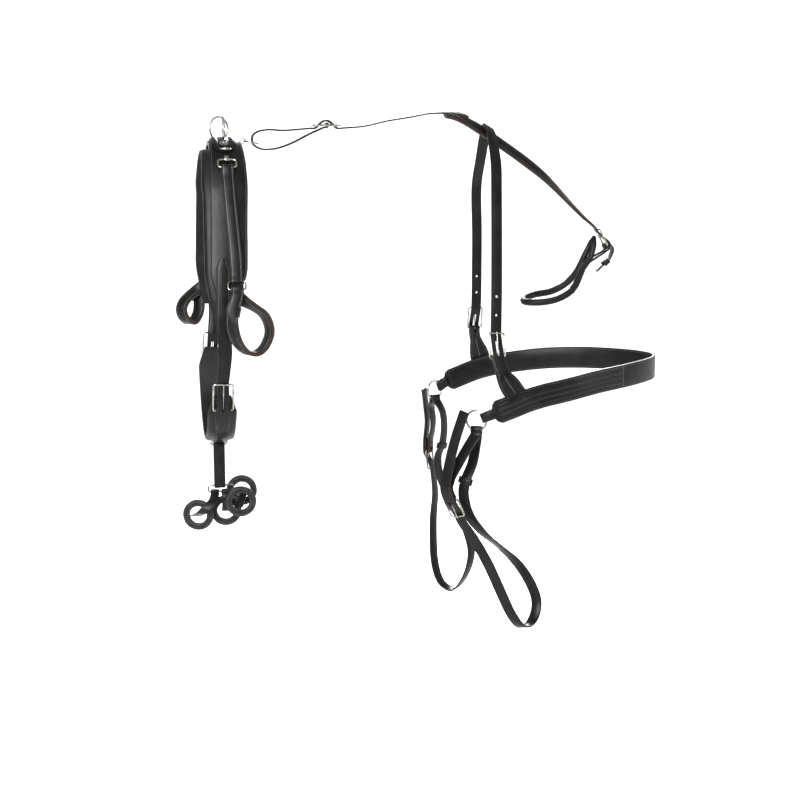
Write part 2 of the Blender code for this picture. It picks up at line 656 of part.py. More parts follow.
def keeper(name, look, route, distance, width, low, high):
    """A flat loop round straps between two heights."""
    reach = width / 2 + KEEPER_SPARE + KEEPER_THICK / 2
    low -= KEEPER_SPARE + KEEPER_THICK / 2
    high += KEEPER_SPARE + KEEPER_THICK / 2
    corner = KEEPER_THICK
    _, along, across, out = route.at(distance)
    middle = route.place(distance, 0, (low + high) / 2)
    path = []
    for up, shift in oblong(high - low, 2 * reach, corner, steps=1):
        path.append(middle + across * shift + out * (up - (high - low) / 2))
    made = strap(name, look, path, [along] * len(path), KEEPER_LENGTH, KEEPER_THICK, closed=True)
    pivot(made, middle)
    return made


def turned(name, look, middle, axis, profile, sides=18):
    """A turned shape from pairs of radius and height. A profile that closes gives a ring."""
    along, first, second = frame(axis, TAILWARD if abs(axis.x) < abs(axis.z) + abs(axis.y) else UPWARD)
    rings = []
    for i in range(sides):
        turn = 2 * pi * i / sides
        outward = first * cos(turn) + second * sin(turn)
        rings.append([middle + outward * radius + along * height for radius, height in profile])
    return solid(name, look, rings, True, True)


def spindle(name, look, base, axis, profile, sides=12):
    """A closed round post from pairs of height and radius along an axis."""
    along, first, second = frame(axis, FARWARD)
    rings = [circle(base + along * height, first, second, radius, sides) for height, radius in profile]
    return solid(name, look, rings, False, True)


# Heights of the saddle's layers above the barrel, at the middle of each
TREE_HEIGHT = PANEL_THICK + GAP + TREE_THICK / 2
SKIRT_HEIGHT = PANEL_THICK + GAP + SKIRT_THICK / 2
SEAT_HEIGHT = TREE_HEIGHT + TREE_THICK / 2 + GAP + SKIRT_THICK + GAP + SEAT_THICK / 2
BILLET_HEIGHT = SKIRT_HEIGHT + SKIRT_THICK / 2 + GAP + STRAP_THICK / 2
GIRTH_STRAP_HEIGHT = GIRTH_THICK + GAP + STRAP_THICK / 2
GIRTH_BAR_HEIGHT = GIRTH_STRAP_HEIGHT + BAR_WRAP
DEE_HEIGHT_ON = TREE_HEIGHT + TREE_THICK / 2 + GAP + SKIRT_THICK + GAP + THIN_THICK + GAP + DEE_WIRE


def barrel_places(side):
    """Places down one side of the barrel, from the spine to the belly."""
    places = []
    for forward, outward, down in BARREL_SHARES:
        depth = BARREL_SINK + down * BARREL_DEPTH
        places.append(Vector((forward * GIRTH_FORWARD, side * outward * BARREL_HALF, -depth)))
    return places


near_places, far_places = barrel_places(NEAR), barrel_places(FAR)
over_back = near_places[::-1] + far_places[1:]
OVER = Route(over_back, [TAILWARD] * len(over_back), from_middle=True)
under_belly = near_places + far_places[-2::-1]
UNDER = Route(under_belly, [TAILWARD] * len(under_belly), turn=-1, from_middle=True)
HALF_ROUND = UNDER.offset


def outline(shares, down, reach, width):
    """Front and rear edges at a distance down, from a table of shares."""
    front, rear = along_table(shares, abs(down) / reach)
    return front * width, rear * width


def skirt_height(down):
    """The middle of the skirt: over the tree at the top, then down onto the panel."""
    fade = min(max((abs(down) - TREE_REACH) / TREE_FADE, 0), 1)
    return SKIRT_HEIGHT + (TREE_THICK + GAP) * (1 - fade)


def stations(start, end, step=LAYER_STEP):
    """Distances from a start to an end. Those between are the same for every layer on a route."""
    first, last = ceil(start / step + 0.2), floor(end / step - 0.2)
    return [start] + [i * step for i in range(first, last + 1)] + [end]


def upright(route, distances, height_at, edges_at):
    """Centres, width directions and edges of a layer, swept so that its shares of height point outward."""
    centres = [route.place(distance, 0, height_at(distance)) for distance in distances]
    return centres, [TAILWARD] * len(centres), [edges_at(distance) for distance in distances]


def make_panels():
    for name, side in SIDES.items():
        centres, acrosses, edges, thick = [], [], [], []
        for down in stations(PANEL_TOP, SADDLE_REACH):
            end = min(down - PANEL_TOP, SADDLE_REACH - down) / (2 * PANEL_THICK)
            height = PANEL_THICK * (0.45 + 0.55 * min(end, 1))
            centres.append(OVER.place(side * down, 0, height / 2))
            edges.append(outline(PANEL_SHARES, down, SADDLE_REACH, PANEL_WIDTH))
            thick.append(height)
        if side < 0:
            centres, edges, thick = centres[::-1], edges[::-1], thick[::-1]
        acrosses = [TAILWARD] * len(centres)
        ribbon(f"{name}_panel", PADDING, centres, acrosses, edges, thick, PAD_SHARES, rounded=True)


def make_tree():
    """The arched plate under the skirt, with the staple that holds the ring at its rear."""
    half = TREE_WIDTH / 2
    centres, acrosses, edges = upright(
        OVER, stations(-TREE_REACH, TREE_REACH), lambda _: TREE_HEIGHT,
        lambda _: (TREE_SHIFT - half, TREE_SHIFT + half),
    )
    tree = ribbon("saddle_tree", STEEL, centres, acrosses, edges, [TREE_THICK] * len(centres))
    level = OVER.place(0, 0, TREE_HEIGHT)
    start, end = TREE_SHIFT + half - 2 * TREE_THICK, EYE_OUT - EYE_RADIUS / 4
    stem = [level + TAILWARD * start, level + TAILWARD * end]
    bar = strap("tree_stem", STEEL, stem, [FARWARD] * len(stem), EYE_STEM_WIDTH, TREE_THICK - GAP)
    boolean(tree, bar, "UNION")
    ring = circle(level + TAILWARD * EYE_OUT + UPWARD * EYE_UP, TAILWARD, UPWARD, EYE_RADIUS, 12)
    boolean(tree, wire("tree_eye", STEEL, ring, FARWARD, EYE_WIRE), "UNION")


def make_skirt_and_seat():
    centres, acrosses, edges = upright(
        OVER, stations(-SADDLE_REACH, SADDLE_REACH), skirt_height,
        lambda down: outline(SKIRT_SHARES, down, SADDLE_REACH, SKIRT_WIDTH),
    )
    ribbon("saddle_skirt", LEATHER, centres, acrosses, edges, [SKIRT_THICK] * len(centres))

    def seat_edges(down):
        front, rear = outline(SEAT_SHARES, down, SEAT_REACH, SEAT_WIDTH)
        return front + SEAT_SHIFT, rear + SEAT_SHIFT

    centres, acrosses, edges = upright(
        OVER, stations(-SEAT_REACH, SEAT_REACH), lambda _: SEAT_HEIGHT, seat_edges,
    )
    ribbon("saddle_seat", LEATHER, centres, acrosses, edges, [SEAT_THICK] * len(centres), SEAT_RIDGE_SHARES)


def make_terrets():
    """A rein ring on a turned foot, on each side of the seat."""
    for name, side in SIDES.items():
        base = OVER.place(side * TERRET_DOWN, SEAT_SHIFT, SEAT_HEIGHT + SEAT_THICK / 2 + GAP)
        out = OVER.at(side * TERRET_DOWN)[3]
        profile = (
            (0, TERRET_FOOT_RADIUS), (TERRET_FOOT_HEIGHT * 0.35, TERRET_FOOT_RADIUS),
            (TERRET_FOOT_HEIGHT * 0.6, TERRET_NECK_RADIUS),
            (TERRET_FOOT_HEIGHT + TERRET_WIRE, TERRET_NECK_RADIUS * 0.8),
        )
        foot = spindle(f"{name}_terret", NICKEL, base, out, profile)
        yaw = radians(NEAR_TERRET_YAW if side < 0 else FAR_TERRET_YAW)
        flat = Vector((sin(yaw), cos(yaw), 0))
        middle = base + out * (TERRET_FOOT_HEIGHT + TERRET_WIRE / 2) + UPWARD * TERRET_RADIUS
        path = circle(middle, flat, UPWARD, TERRET_RADIUS, 18)
        ring = wire(f"{name}_terret_ring", NICKEL, path, flat.cross(UPWARD), TERRET_WIRE, sides=8)
        boolean(foot, ring, "UNION")


def dee_place(side, along=0.0, shift=0.0, out=0.0):
    """A place on a dee's plane, which hangs from its top bar against the skirt."""
    middle, tangent, across, outward = OVER.at(side * DEE_DOWN)
    origin = middle + across * DEE_SHIFT + outward * DEE_HEIGHT_ON
    return origin + tangent * side * along + across * shift + outward * out


def make_tugs():
    """Each side's clip, dee, strap, ring and loop, and the keeper sewn on the loop."""
    clip_wrap = wrap_radius(DEE_WIRE, CLIP_THICK)
    strap_wrap = wrap_radius(DEE_WIRE, THIN_THICK)
    for name, side in SIDES.items():
        outward = OVER.at(side * DEE_DOWN)[3]
        skirt_face = skirt_height(DEE_DOWN) + SKIRT_THICK / 2 - DEE_HEIGHT_ON
        run = [(-CLIP_REACH, skirt_face + GAP + CLIP_THICK / 2), (-CLIP_REACH / 3, -clip_wrap)]
        run += fold(0, 0, clip_wrap, 1) + [(-CLIP_REACH / 4, clip_wrap)]
        centres = [dee_place(side, reach, 0, out) for reach, out in run]
        strap(f"{name}_dee_clip", NICKEL, centres, [TAILWARD] * len(centres), CLIP_WIDTH, CLIP_THICK)
        path = [dee_place(side, reach, shift) for reach, shift in oblong(DEE_HEIGHT, DEE_WIDTH, 2 * DEE_WIRE)]
        dee = wire(f"{name}_tug_dee", NICKEL, path, outward, DEE_WIRE)
        pivot(dee, dee_place(side))
        make_tug_strap(name, side, strap_wrap)


def make_tug_strap(name, side, strap_wrap):
    top = dee_place(side, DEE_HEIGHT)
    tangent, outward = OVER.at(side * DEE_DOWN)[1] * side, OVER.at(side * DEE_DOWN)[3]
    low_middle, low_tangent, _, low_outward = OVER.at(side * TUG_RING_DOWN)
    low_tangent = low_tangent * side
    hang_way = (low_tangent + low_outward * sin(radians(TUG_RING_LEAN))).normalized()
    ring_wrap = wrap_radius(TUG_RING_WIRE, THIN_THICK)
    low_height = DEE_HEIGHT_ON
    drift = NEAR_TUG_DRIFT if side < 0 else FAR_TUG_DRIFT
    low = low_middle + TAILWARD * (DEE_SHIFT + drift) + low_outward * low_height
    inner, outer = [], []
    upper_end, span = DEE_DOWN + DEE_HEIGHT, TUG_RING_DOWN - DEE_DOWN - DEE_HEIGHT
    for down in stations(upper_end + LAYER_STEP, TUG_RING_DOWN)[:-1]:
        share = (down - upper_end) / span
        shift = DEE_SHIFT + drift * share * share * (3 - 2 * share)
        base = DEE_HEIGHT_ON - strap_wrap
        inner.append(OVER.place(side * down, shift, base))
        outer.append(OVER.place(side * down, shift, base + THIN_THICK + GAP))
    upper = [top + tangent * reach + outward * out for reach, out in fold(0, 0, strap_wrap, -1)]
    lower = [low + low_tangent * reach + low_outward * out for reach, out in fold(0, 0, ring_wrap, 1)]
    centres = upper + outer + lower[::-1] + inner[::-1]
    acrosses = [TAILWARD] * len(centres)
    body = strap(f"{name}_tug_strap", LEATHER, centres, acrosses, TUG_STRAP_WIDTH, THIN_THICK, closed=True)
    pivot(body, top)
    path = []
    for reach, shift in oblong(TUG_RING_HEIGHT, TUG_RING_WIDTH, 2 * TUG_RING_WIRE):
        path.append(low + hang_way * reach + TAILWARD * shift)
    ring = wire(f"{name}_tug_ring", NICKEL, path, low_outward, TUG_RING_WIRE)
    pivot(ring, low + hang_way * TUG_RING_HEIGHT)
    make_tug_loop(name, side, low + hang_way * TUG_RING_HEIGHT)


def make_tug_loop(name, side, bar):
    """The shaft loop, thick and turned on itself, with its keeper sewn round the front run."""
    wrap = wrap_radius(TUG_RING_WIRE, TUG_THICK)
    out_way = Vector((0, side, 0))
    turns = [pi * step / 4 for step in range(5)]
    places = [bar + (out_way * -cos(turn) + UPWARD * sin(turn)) * wrap for turn in turns]
    acrosses = [TAILWARD] * len(places)
    table = NEAR_TUG_LOOP_SHARES if side < 0 else FAR_TUG_LOOP_SHARES
    for tail, out, down, wide_tail, wide_out in table:
        shift = TAILWARD * tail * TUG_LOOP_WIDTH + out_way * out * TUG_LOOP_DEPTH
        places.append(bar + shift - UPWARD * down * TUG_LOOP_DROP)
        acrosses.append(TAILWARD * wide_tail + out_way * wide_out)
    places.append(places[0])
    acrosses.append(TAILWARD)
    line = flow(places, 3)[:-1]
    centres = [point for point, _ in line]
    wides = [between(acrosses, place) for _, place in line]
    loop = strap(f"{name}_tug_loop", LEATHER, centres, wides, TUG_STRAP_WIDTH, TUG_THICK, closed=True)
    spots = [len(centres) * share for share in TUG_KEEPER_SHARES]
    sleeve = [between(centres, spot) for spot in spots], [between(wides, spot) for spot in spots]
    size = TUG_STRAP_WIDTH + 2 * KEEPER_THICK, TUG_THICK + 2 * KEEPER_THICK
    boolean(loop, strap(f"{name}_tug_keeper", LEATHER, *sleeve, *size), "UNION")
    pivot(loop, bar)


def make_girth():
    """The stuffed girth, the strap sewn along it with a buckle folded into each end, and the billets."""
    near_heel = SADDLE_REACH + NEAR_GIRTH_BELOW - HALF_ROUND
    far_heel = HALF_ROUND - SADDLE_REACH - FAR_GIRTH_BELOW
    start, end = near_heel - GIRTH_PAST_HEEL, far_heel + GIRTH_PAST_HEEL
    centres, thick, edges = [], [], []
    for distance in stations(start, end):
        inward = min(distance - start, end - distance)
        height = GIRTH_THICK * (0.6 + 0.4 * min(inward / GIRTH_THICK, 1))
        half = GIRTH_WIDTH / 2 * (GIRTH_END_SHARE + (1 - GIRTH_END_SHARE) * min(inward / GIRTH_TAPER, 1))
        centres.append(UNDER.place(distance, 0, GIRTH_THICK - height / 2))
        thick.append(height)
        edges.append((-half, half))
    acrosses = [-TAILWARD] * len(centres)
    ribbon("girth_body", PADDING, centres, acrosses, edges, thick, PAD_SHARES, rounded=True)

    run = chape_run(near_heel, -1, GIRTH_BAR_HEIGHT)
    run += [(distance, GIRTH_STRAP_HEIGHT) for distance in stations(near_heel, far_heel)[1:-1]]
    run += chape_run(far_heel, 1, GIRTH_BAR_HEIGHT)[::-1]
    centres, acrosses = on_route(UNDER, run)
    body = strap("girth_strap", LEATHER, centres, acrosses, GIRTH_STRAP_WIDTH, STRAP_THICK)
    for name, heel, way in (("near", near_heel, -1), ("far", far_heel, 1)):
        chape_slot(body, UNDER, heel, way, GIRTH_BAR_HEIGHT)
        size = (GIRTH_BUCKLE_LENGTH, GIRTH_STRAP_WIDTH, GIRTH_BAR_HEIGHT)
        buckle_frame(f"{name}_girth_buckle", UNDER, heel, way, *size)
        buckle_tongue(f"{name}_girth_tongue", UNDER, heel, way, GIRTH_BUCKLE_LENGTH, GIRTH_BAR_HEIGHT)
        make_billet(name, heel, way)


def make_billet(name, heel, way):
    """The strap from under the skirt's face down through the girth buckle, narrow below its shoulder."""
    top = heel + way * (HALF_ROUND - abs(heel) - BILLET_TOP)
    saddle_end = heel + way * (HALF_ROUND - abs(heel) - SADDLE_REACH)
    shoulder = heel + way * (GIRTH_BUCKLE_LENGTH + BILLET_SHOULDER_UP)
    full, narrow = GIRTH_STRAP_WIDTH * 0.9 / 2, BILLET_NARROW / 2
    run = [(distance, BILLET_HEIGHT) for distance in steps_between(top, saddle_end, 6)]
    through = billet_run(heel, way, GIRTH_BUCKLE_LENGTH, GIRTH_BAR_HEIGHT, BILLET_PAST_HEEL)
    run += [((saddle_end + through[0][0]) / 2, (BILLET_HEIGHT + through[0][1]) / 2)] + through
    centres, acrosses, edges = [], [], []
    for distance, height in run:
        up = way * (distance - shoulder)
        shift = -BILLET_SHIFT * min(max(up / BILLET_SHOULDER_UP, 0), 1)
        half = full if up > 0 else narrow
        if distance in (run[0][0], run[-1][0]):
            half = narrow / 2
        centres.append(UNDER.place(distance, shift, height))
        acrosses.append(UNDER.at(distance)[2])
        edges.append((-half, half))
    body = ribbon(f"{name}_billet", LEATHER, centres, acrosses, edges, [STRAP_THICK] * len(centres))
    billet_slot(body, UNDER, heel, way, GIRTH_BUCKLE_LENGTH, GIRTH_BAR_HEIGHT)


def back_place(tail_share, up_share):
    """A place over the loins, from the backstrap's front to the croup."""
    return Vector((BACK_START + tail_share * CROUP_REACH, 0, up_share * CROUP_RISE))


def twisted(angle):
    return Vector((0, cos(radians(angle)), sin(radians(angle))))


spine_places = [back_place(*shares) for shares in SPINE_SHARES]
croup = spine_places[-1]
for tail_share, down_share in TAIL_SHARES:
    spine_places.append(croup + TAILWARD * tail_share * TAIL_REACH - UPWARD * down_share * TAIL_DROP)
spine_turns = [0] * (len(SPINE_SHARES) - 1) + [0.35, 0.7, 1, 1, 1, 0.8, 0.4, 0]
SPINE = Route(spine_places, [twisted(BACKSTRAP_TWIST * turn) for turn in spine_turns], turn=-1)
CROUP_AT = sum((after - before).length for before, after in zip(spine_places[:5], spine_places[1:6]))
MAIN_DROP = STRAP_THICK / 2 + 3 * GAP + BACKSTRAP_THICK / 2
TAIL_AT = SPINE.reach[-1]


def make_back_ring():
    """The ring in the staple at the saddle's rear."""
    play = EYE_RADIUS - EYE_WIRE - BACK_RING_WIRE - GAP
    hinge = OVER.place(0, 0, TREE_HEIGHT) + TAILWARD * (EYE_OUT + play) + UPWARD * EYE_UP
    slope = Vector((cos(radians(BACK_RING_TILT)), 0, -sin(radians(BACK_RING_TILT))))
    path = circle(hinge + slope * BACK_RING_RADIUS, slope, FARWARD, BACK_RING_RADIUS, 18)
    ring = wire("back_ring", NICKEL, path, slope.cross(FARWARD), BACK_RING_WIRE)
    pivot(ring, hinge)


def make_backstrap():
    """The front strap, folded round the ring and into its slide, and the doubled strap over the croup."""
    wrap = wrap_radius(SLIDE_WIRE, STRAP_THICK)
    bar = back_place(SLIDE_SHARE, SPINE_SHARES[0][1]) + UPWARD * (wrap + SLIDE_PLAY)
    over = wrap + STRAP_THICK + GAP
    half, clear = SLIDE_LENGTH / 2, 2 * SLIDE_WIRE
    end = CROUP_AT + OVERLAP_REACH
    run = [(distance, 0) for distance in stations(0, end, TWIST_STEP)[::-1]]
    centres, acrosses = on_route(SPINE, run)
    flat = -wrap - SLIDE_PLAY
    slide_run = [(half - clear, flat), (clear * 1.5, over), (-clear * 1.5, over)]
    slide_run += [(clear - half, flat), (-half - clear, flat)]
    front = [bar + TAILWARD * reach + UPWARD * up for reach, up in slide_run]
    table = UPPER_RUN_SHARES[1:] + FRONT_FOLD_SHARES + LOWER_RUN_SHARES
    curve = [front[-1]] + [back_place(*shares) for shares in table]
    end_run = [bar + TAILWARD * reach + UPWARD * up for reach, up in fold(0, 0, wrap, 1)]
    curve.append(end_run[0] - TAILWARD * clear)
    front = front[:-1] + [point for point, _ in flow(curve, 3)] + end_run
    centres += front
    acrosses += [FARWARD] * len(front)
    strap("backstrap_loop", LEATHER, centres, acrosses, STRAP_WIDTH, STRAP_THICK)

    outer = STRAP_WIDTH + 2 * (BUCKLE_SPARE + SLIDE_WIRE)
    outline_of = oblong(SLIDE_LENGTH, outer, clear)
    path = [bar + TAILWARD * (reach - half) + FARWARD * shift for reach, shift in outline_of]
    slide = wire("backstrap_slide", NICKEL, path, UPWARD, SLIDE_WIRE)
    middle = [bar - FARWARD * (outer / 2), bar + FARWARD * (outer / 2)]
    boolean(slide, wire("slide_bar", NICKEL, middle, TAILWARD, SLIDE_WIRE - GAP / 4, closed=False), "UNION")
    pivot(slide, bar)

    start = CROUP_AT - OVERLAP_REACH / 4
    heel = TAIL_AT + SMALL_BUCKLE_LENGTH
    run = [(distance, -MAIN_DROP) for distance in stations(start, TAIL_AT - OVERLAP_REACH, TWIST_STEP)]
    centres, acrosses = on_route(SPINE, run)
    thick = [BACKSTRAP_THICK] * len(centres)
    widths = [STRAP_WIDTH] * len(centres)
    through = billet_run(heel, -1, SMALL_BUCKLE_LENGTH, 0, CRUPPER_TIP_REACH)
    tail, wide = on_route(CRUPPER, [(distance - TAIL_AT, height) for distance, height in through])
    centres += tail
    acrosses += wide
    thick += [STRAP_THICK] * len(tail)
    widths += [DOCK_STRAP_WIDTH] * len(tail)
    edges = [(-width / 2, width / 2) for width in widths]
    main = ribbon("backstrap", LEATHER, centres, acrosses, edges, thick)
    billet_slot(main, CRUPPER, SMALL_BUCKLE_LENGTH, -1, SMALL_BUCKLE_LENGTH, 0)


def crupper_route():
    """Straight through the buckle, then bent forward under the tail."""
    end, along, _, out = SPINE.at(TAIL_AT)
    way = (along - out * sin(radians(CRUPPER_TURN))).normalized()
    start = end + out * (BAR_WRAP - MAIN_DROP)
    heel = start + way * SMALL_BUCKLE_LENGTH
    bend = heel + way * CRUPPER_BEND_AT
    onward = Matrix.Rotation(radians(CRUPPER_BEND), 3, FARWARD) @ way
    places = [start, heel, bend, bend + onward * SMALL_BUCKLE_LENGTH, bend + onward * 2 * SMALL_BUCKLE_LENGTH]
    return Route(places, [FARWARD] * len(places), turn=-1)


CRUPPER = crupper_route()


def make_crupper():
    """The buckle, the stuffed loop that passes under the tail, and the keeper over its strap."""
    heel = SMALL_BUCKLE_LENGTH
    buckle_frame("crupper_buckle", CRUPPER, heel, -1, SMALL_BUCKLE_LENGTH, DOCK_STRAP_WIDTH, 0)
    buckle_tongue("crupper_tongue", CRUPPER, heel, -1, SMALL_BUCKLE_LENGTH, 0)
    depth = BAR_WRAP + STRAP_THICK / 2 + CRUPPER_CLEAR + CRUPPER_YOKE
    yoke = CRUPPER.place(heel - CRUPPER_TAB, 0, -depth)
    reach, half, drop = CRUPPER_REACH, CRUPPER_HALF, CRUPPER_DROP
    places = [yoke]
    for tail, out, down in CRUPPER_NEAR_SHARES:
        places.append(yoke + TAILWARD * tail * reach - FARWARD * out * half - UPWARD * down * drop)
    for tail, out, down in CRUPPER_FAR_SHARES[::-1]:
        places.append(yoke + TAILWARD * tail * reach + FARWARD * out * half - UPWARD * down * drop)
    places.append(yoke)
    line = [point for point, _ in flow(places, 2)[:-1]]
    rings = []
    for i, centre in enumerate(line):
        tangent = line[(i + 1) % len(line)] - line[i - 1]
        share = min(min(i, len(line) - i) / 8, 1)
        radius = CRUPPER_YOKE + (CRUPPER_TUBE - CRUPPER_YOKE) * share
        _, up, out = frame(tangent, UPWARD + TAILWARD)
        rings.append(circle(centre, up, out, radius, 8))
    dock = solid("crupper_dock", PADDING, rings, True, True)
    seats = [yoke + TAILWARD * tail * reach - UPWARD * down * drop for tail, down in CHAPE_SEAT_SHARES]
    run = [(heel + BAR_WRAP, -BAR_WRAP)] + fold(heel, 0, BAR_WRAP, -1)
    run += [(heel + BAR_WRAP, BAR_WRAP * 0.85), (heel + 2.2 * BAR_WRAP, BAR_WRAP * 0.3)]
    centres, _ = on_route(CRUPPER, run)
    centres, acrosses = [seats[0]] + centres + [seats[1]], [FARWARD] * (len(run) + 2)
    chape = strap("crupper_chape", LEATHER, centres, acrosses, DOCK_STRAP_WIDTH, STRAP_THICK)
    chape_slot(chape, CRUPPER, heel, -1, 0)
    boolean(dock, chape, "UNION")
    pivot(dock, CRUPPER.place(heel))
    low, high = BILLET_OVER - STRAP_THICK / 2, BILLET_OVER + STRAP_THICK / 2
    keeper("crupper_keeper", LEATHER, CRUPPER, heel + CRUPPER_KEEPER_DOWN, DOCK_STRAP_WIDTH, low, high)


def hip_route(side):
    """From the croup down over the hip to the breeching."""
    crossing, _, wide, out = SPINE.at(CROUP_AT + HIP_CROSS_SHARE * TAIL_REACH)
    crest = crossing + wide * (STRAP_WIDTH / 2) - out * MAIN_DROP + UPWARD * (GAP + STRAP_THICK + HIP_TOP)
    places = []
    for outward, down, near_sway, far_sway in HIP_SHARES:
        sway = (near_sway if side < 0 else far_sway) * HIP_SWAY
        level = 0 if outward == 0 else crest.y * (1 - outward)
        places.append(Vector((crest.x + sway, level + side * outward * HIP_HALF, crest.z - down * HIP_DROP)))
    places[0].y = crest.y
    return places


HIP_CREST_WAY = SPINE.at(CROUP_AT + HIP_CROSS_SHARE * TAIL_REACH)[1]
hip_wide = [HIP_CREST_WAY, HIP_CREST_WAY] + [TAILWARD] * (len(HIP_SHARES) - 2)
HIP = {side: Route(hip_route(side), hip_wide, turn=side) for side in (NEAR, FAR)}


def make_hips():
    """One strap over the croup, with a buckle and an uptug at each end."""
    halves = {}
    for side in (NEAR, FAR):
        heel = HIP[side].reach[-1] - UPTUG_REACH
        through = billet_run(heel, -1, HIP_BUCKLE_LENGTH, BAR_WRAP, CHAPE_PAST_HEEL * 1.4)
        run = [(distance, 0) for distance in steps_between(0, through[0][0], 20)[:-1]] + through
        halves[side] = on_route(HIP[side], run)
    centres = halves[NEAR][0][::-1] + halves[FAR][0][1:]
    acrosses = halves[NEAR][1][::-1] + halves[FAR][1][1:]
    body = strap("hip_strap", LEATHER, centres, acrosses, STRAP_WIDTH, STRAP_THICK)
    for name, side in SIDES.items():
        route, heel = HIP[side], HIP[side].reach[-1] - UPTUG_REACH
        size = (HIP_BUCKLE_LENGTH, STRAP_WIDTH, BAR_WRAP)
        billet_slot(body, route, heel, -1, HIP_BUCKLE_LENGTH, BAR_WRAP)
        buckle_frame(f"{name}_hip_buckle", route, heel, -1, *size)
        buckle_tongue(f"{name}_hip_tongue", route, heel, -1, HIP_BUCKLE_LENGTH, BAR_WRAP)
        foot = route.reach[-1]
        run = chape_run(heel, -1, BAR_WRAP) + [(distance, 0) for distance in steps_between(heel, foot, 8)[1:]]
        centres, acrosses = on_route(route, run)
        edges = []
        for distance, height in run:
            share = min(max((distance - heel) / (foot - heel) * 2.2 - 0.5, 0), 1) if height == 0 else 0
            half = (STRAP_WIDTH + (UPTUG_FOOT_WIDTH - STRAP_WIDTH) * share) / 2
            edges.append((-half, half))
        uptug = ribbon(f"{name}_uptug", LEATHER, centres, acrosses, edges, [STRAP_THICK] * len(run))
        chape_slot(uptug, route, heel, -1, BAR_WRAP)


def ring_middle(side):
    return Vector((BREECHING_START, side * BREECHING_HALF * 0.95, -BREECHING_DROP))


def ring_way(side):
    """The direction across a breeching ring's plane, rearward and a little outward."""
    yaw = radians(BREECHING_RING_YAW)
    return Vector((cos(yaw), side * sin(yaw), 0))


def ring_pull(side):
    """The direction in which the breeching leaves a ring, in the ring's plane."""
    lift = radians(BREECHING_LIFT)
    return ring_way(side) * cos(lift) + UPWARD * sin(lift)


def ring_bow(width):
    """How far a ring's wire bows away under a strap of this width."""
    radius = BREECHING_RING_RADIUS - BREECHING_RING_WIRE
    return radius - (radius * radius - width * width / 4) ** 0.5


RING_WRAP = wrap_radius(BREECHING_RING_WIRE, STRAP_THICK) + GAP


def breeching_route():
    halves = {}
    for side in (NEAR, FAR):
        pull = ring_pull(side)
        rear = ring_middle(side) + pull * BREECHING_RING_RADIUS
        places = [rear - pull * RING_WRAP * 2, rear + pull * RING_WRAP * 2]
        for tail, out, up in BREECHING_SHARES:
            level = UPWARD * (up * BREECHING_RISE - BREECHING_DROP)
            rearward = TAILWARD * (BREECHING_START + tail * BREECHING_REACH)
            places.append(rearward + FARWARD * side * out * BREECHING_HALF + level)
        halves[side] = places
    places = halves[NEAR] + halves[FAR][-2::-1]
    return Route(places, [UPWARD] * len(places), turn=-1)


BREECHING = breeching_route()


def make_breeching():
    """The broad strap behind the quarters, each end folded round the rear of a ring."""
    bar_at = 2 * RING_WRAP
    slack = ring_bow(BREECHING_CHAPE_WIDTH) + GAP
    whole = BREECHING.reach[-1]
    past = steps_between(bar_at, bar_at + CHAPE_REACH, 4)[1:]
    start = [(distance, -RING_WRAP) for distance in past[::-1]] + fold(bar_at, 0, RING_WRAP, -1, slack)
    half = []
    flare, broad = bar_at + CHAPE_REACH, bar_at + CHAPE_REACH + CHAPE_FLARE
    for distance in past[:-1] + steps_between(flare, broad, 3)[:-1] + steps_between(broad, whole / 2, 15):
        share = min(max((distance - flare) / CHAPE_FLARE, 0), 1)
        half.append((distance, RING_WRAP * (1 - share), share))
    run = [(distance, height, 0) for distance, height in start] + half
    back = [(whole - distance, height, share) for distance, height, share in run[-2::-1]]
    centres, acrosses, edges, thick = [], [], [], []
    for distance, height, share in run + back:
        centres.append(BREECHING.place(distance, 0, height))
        acrosses.append(BREECHING.at(distance)[2])
        width = BREECHING_CHAPE_WIDTH + (BREECHING_HEIGHT - BREECHING_CHAPE_WIDTH) * share ** 0.5
        edges.append((-width / 2, width / 2))
        thick.append(STRAP_THICK + (BREECHING_THICK - STRAP_THICK) * share)
    ribbon("breeching", LEATHER, centres, acrosses, edges, thick)
    for name, side in SIDES.items():
        way = ring_way(side)
        path = circle(ring_middle(side), way, UPWARD, BREECHING_RING_RADIUS, 22)
        ring = wire(f"{name}_breeching_ring", NICKEL, path, way.cross(UPWARD), BREECHING_RING_WIRE, sides=8)
        pivot(ring, ring_middle(side) + way * BREECHING_RING_RADIUS)


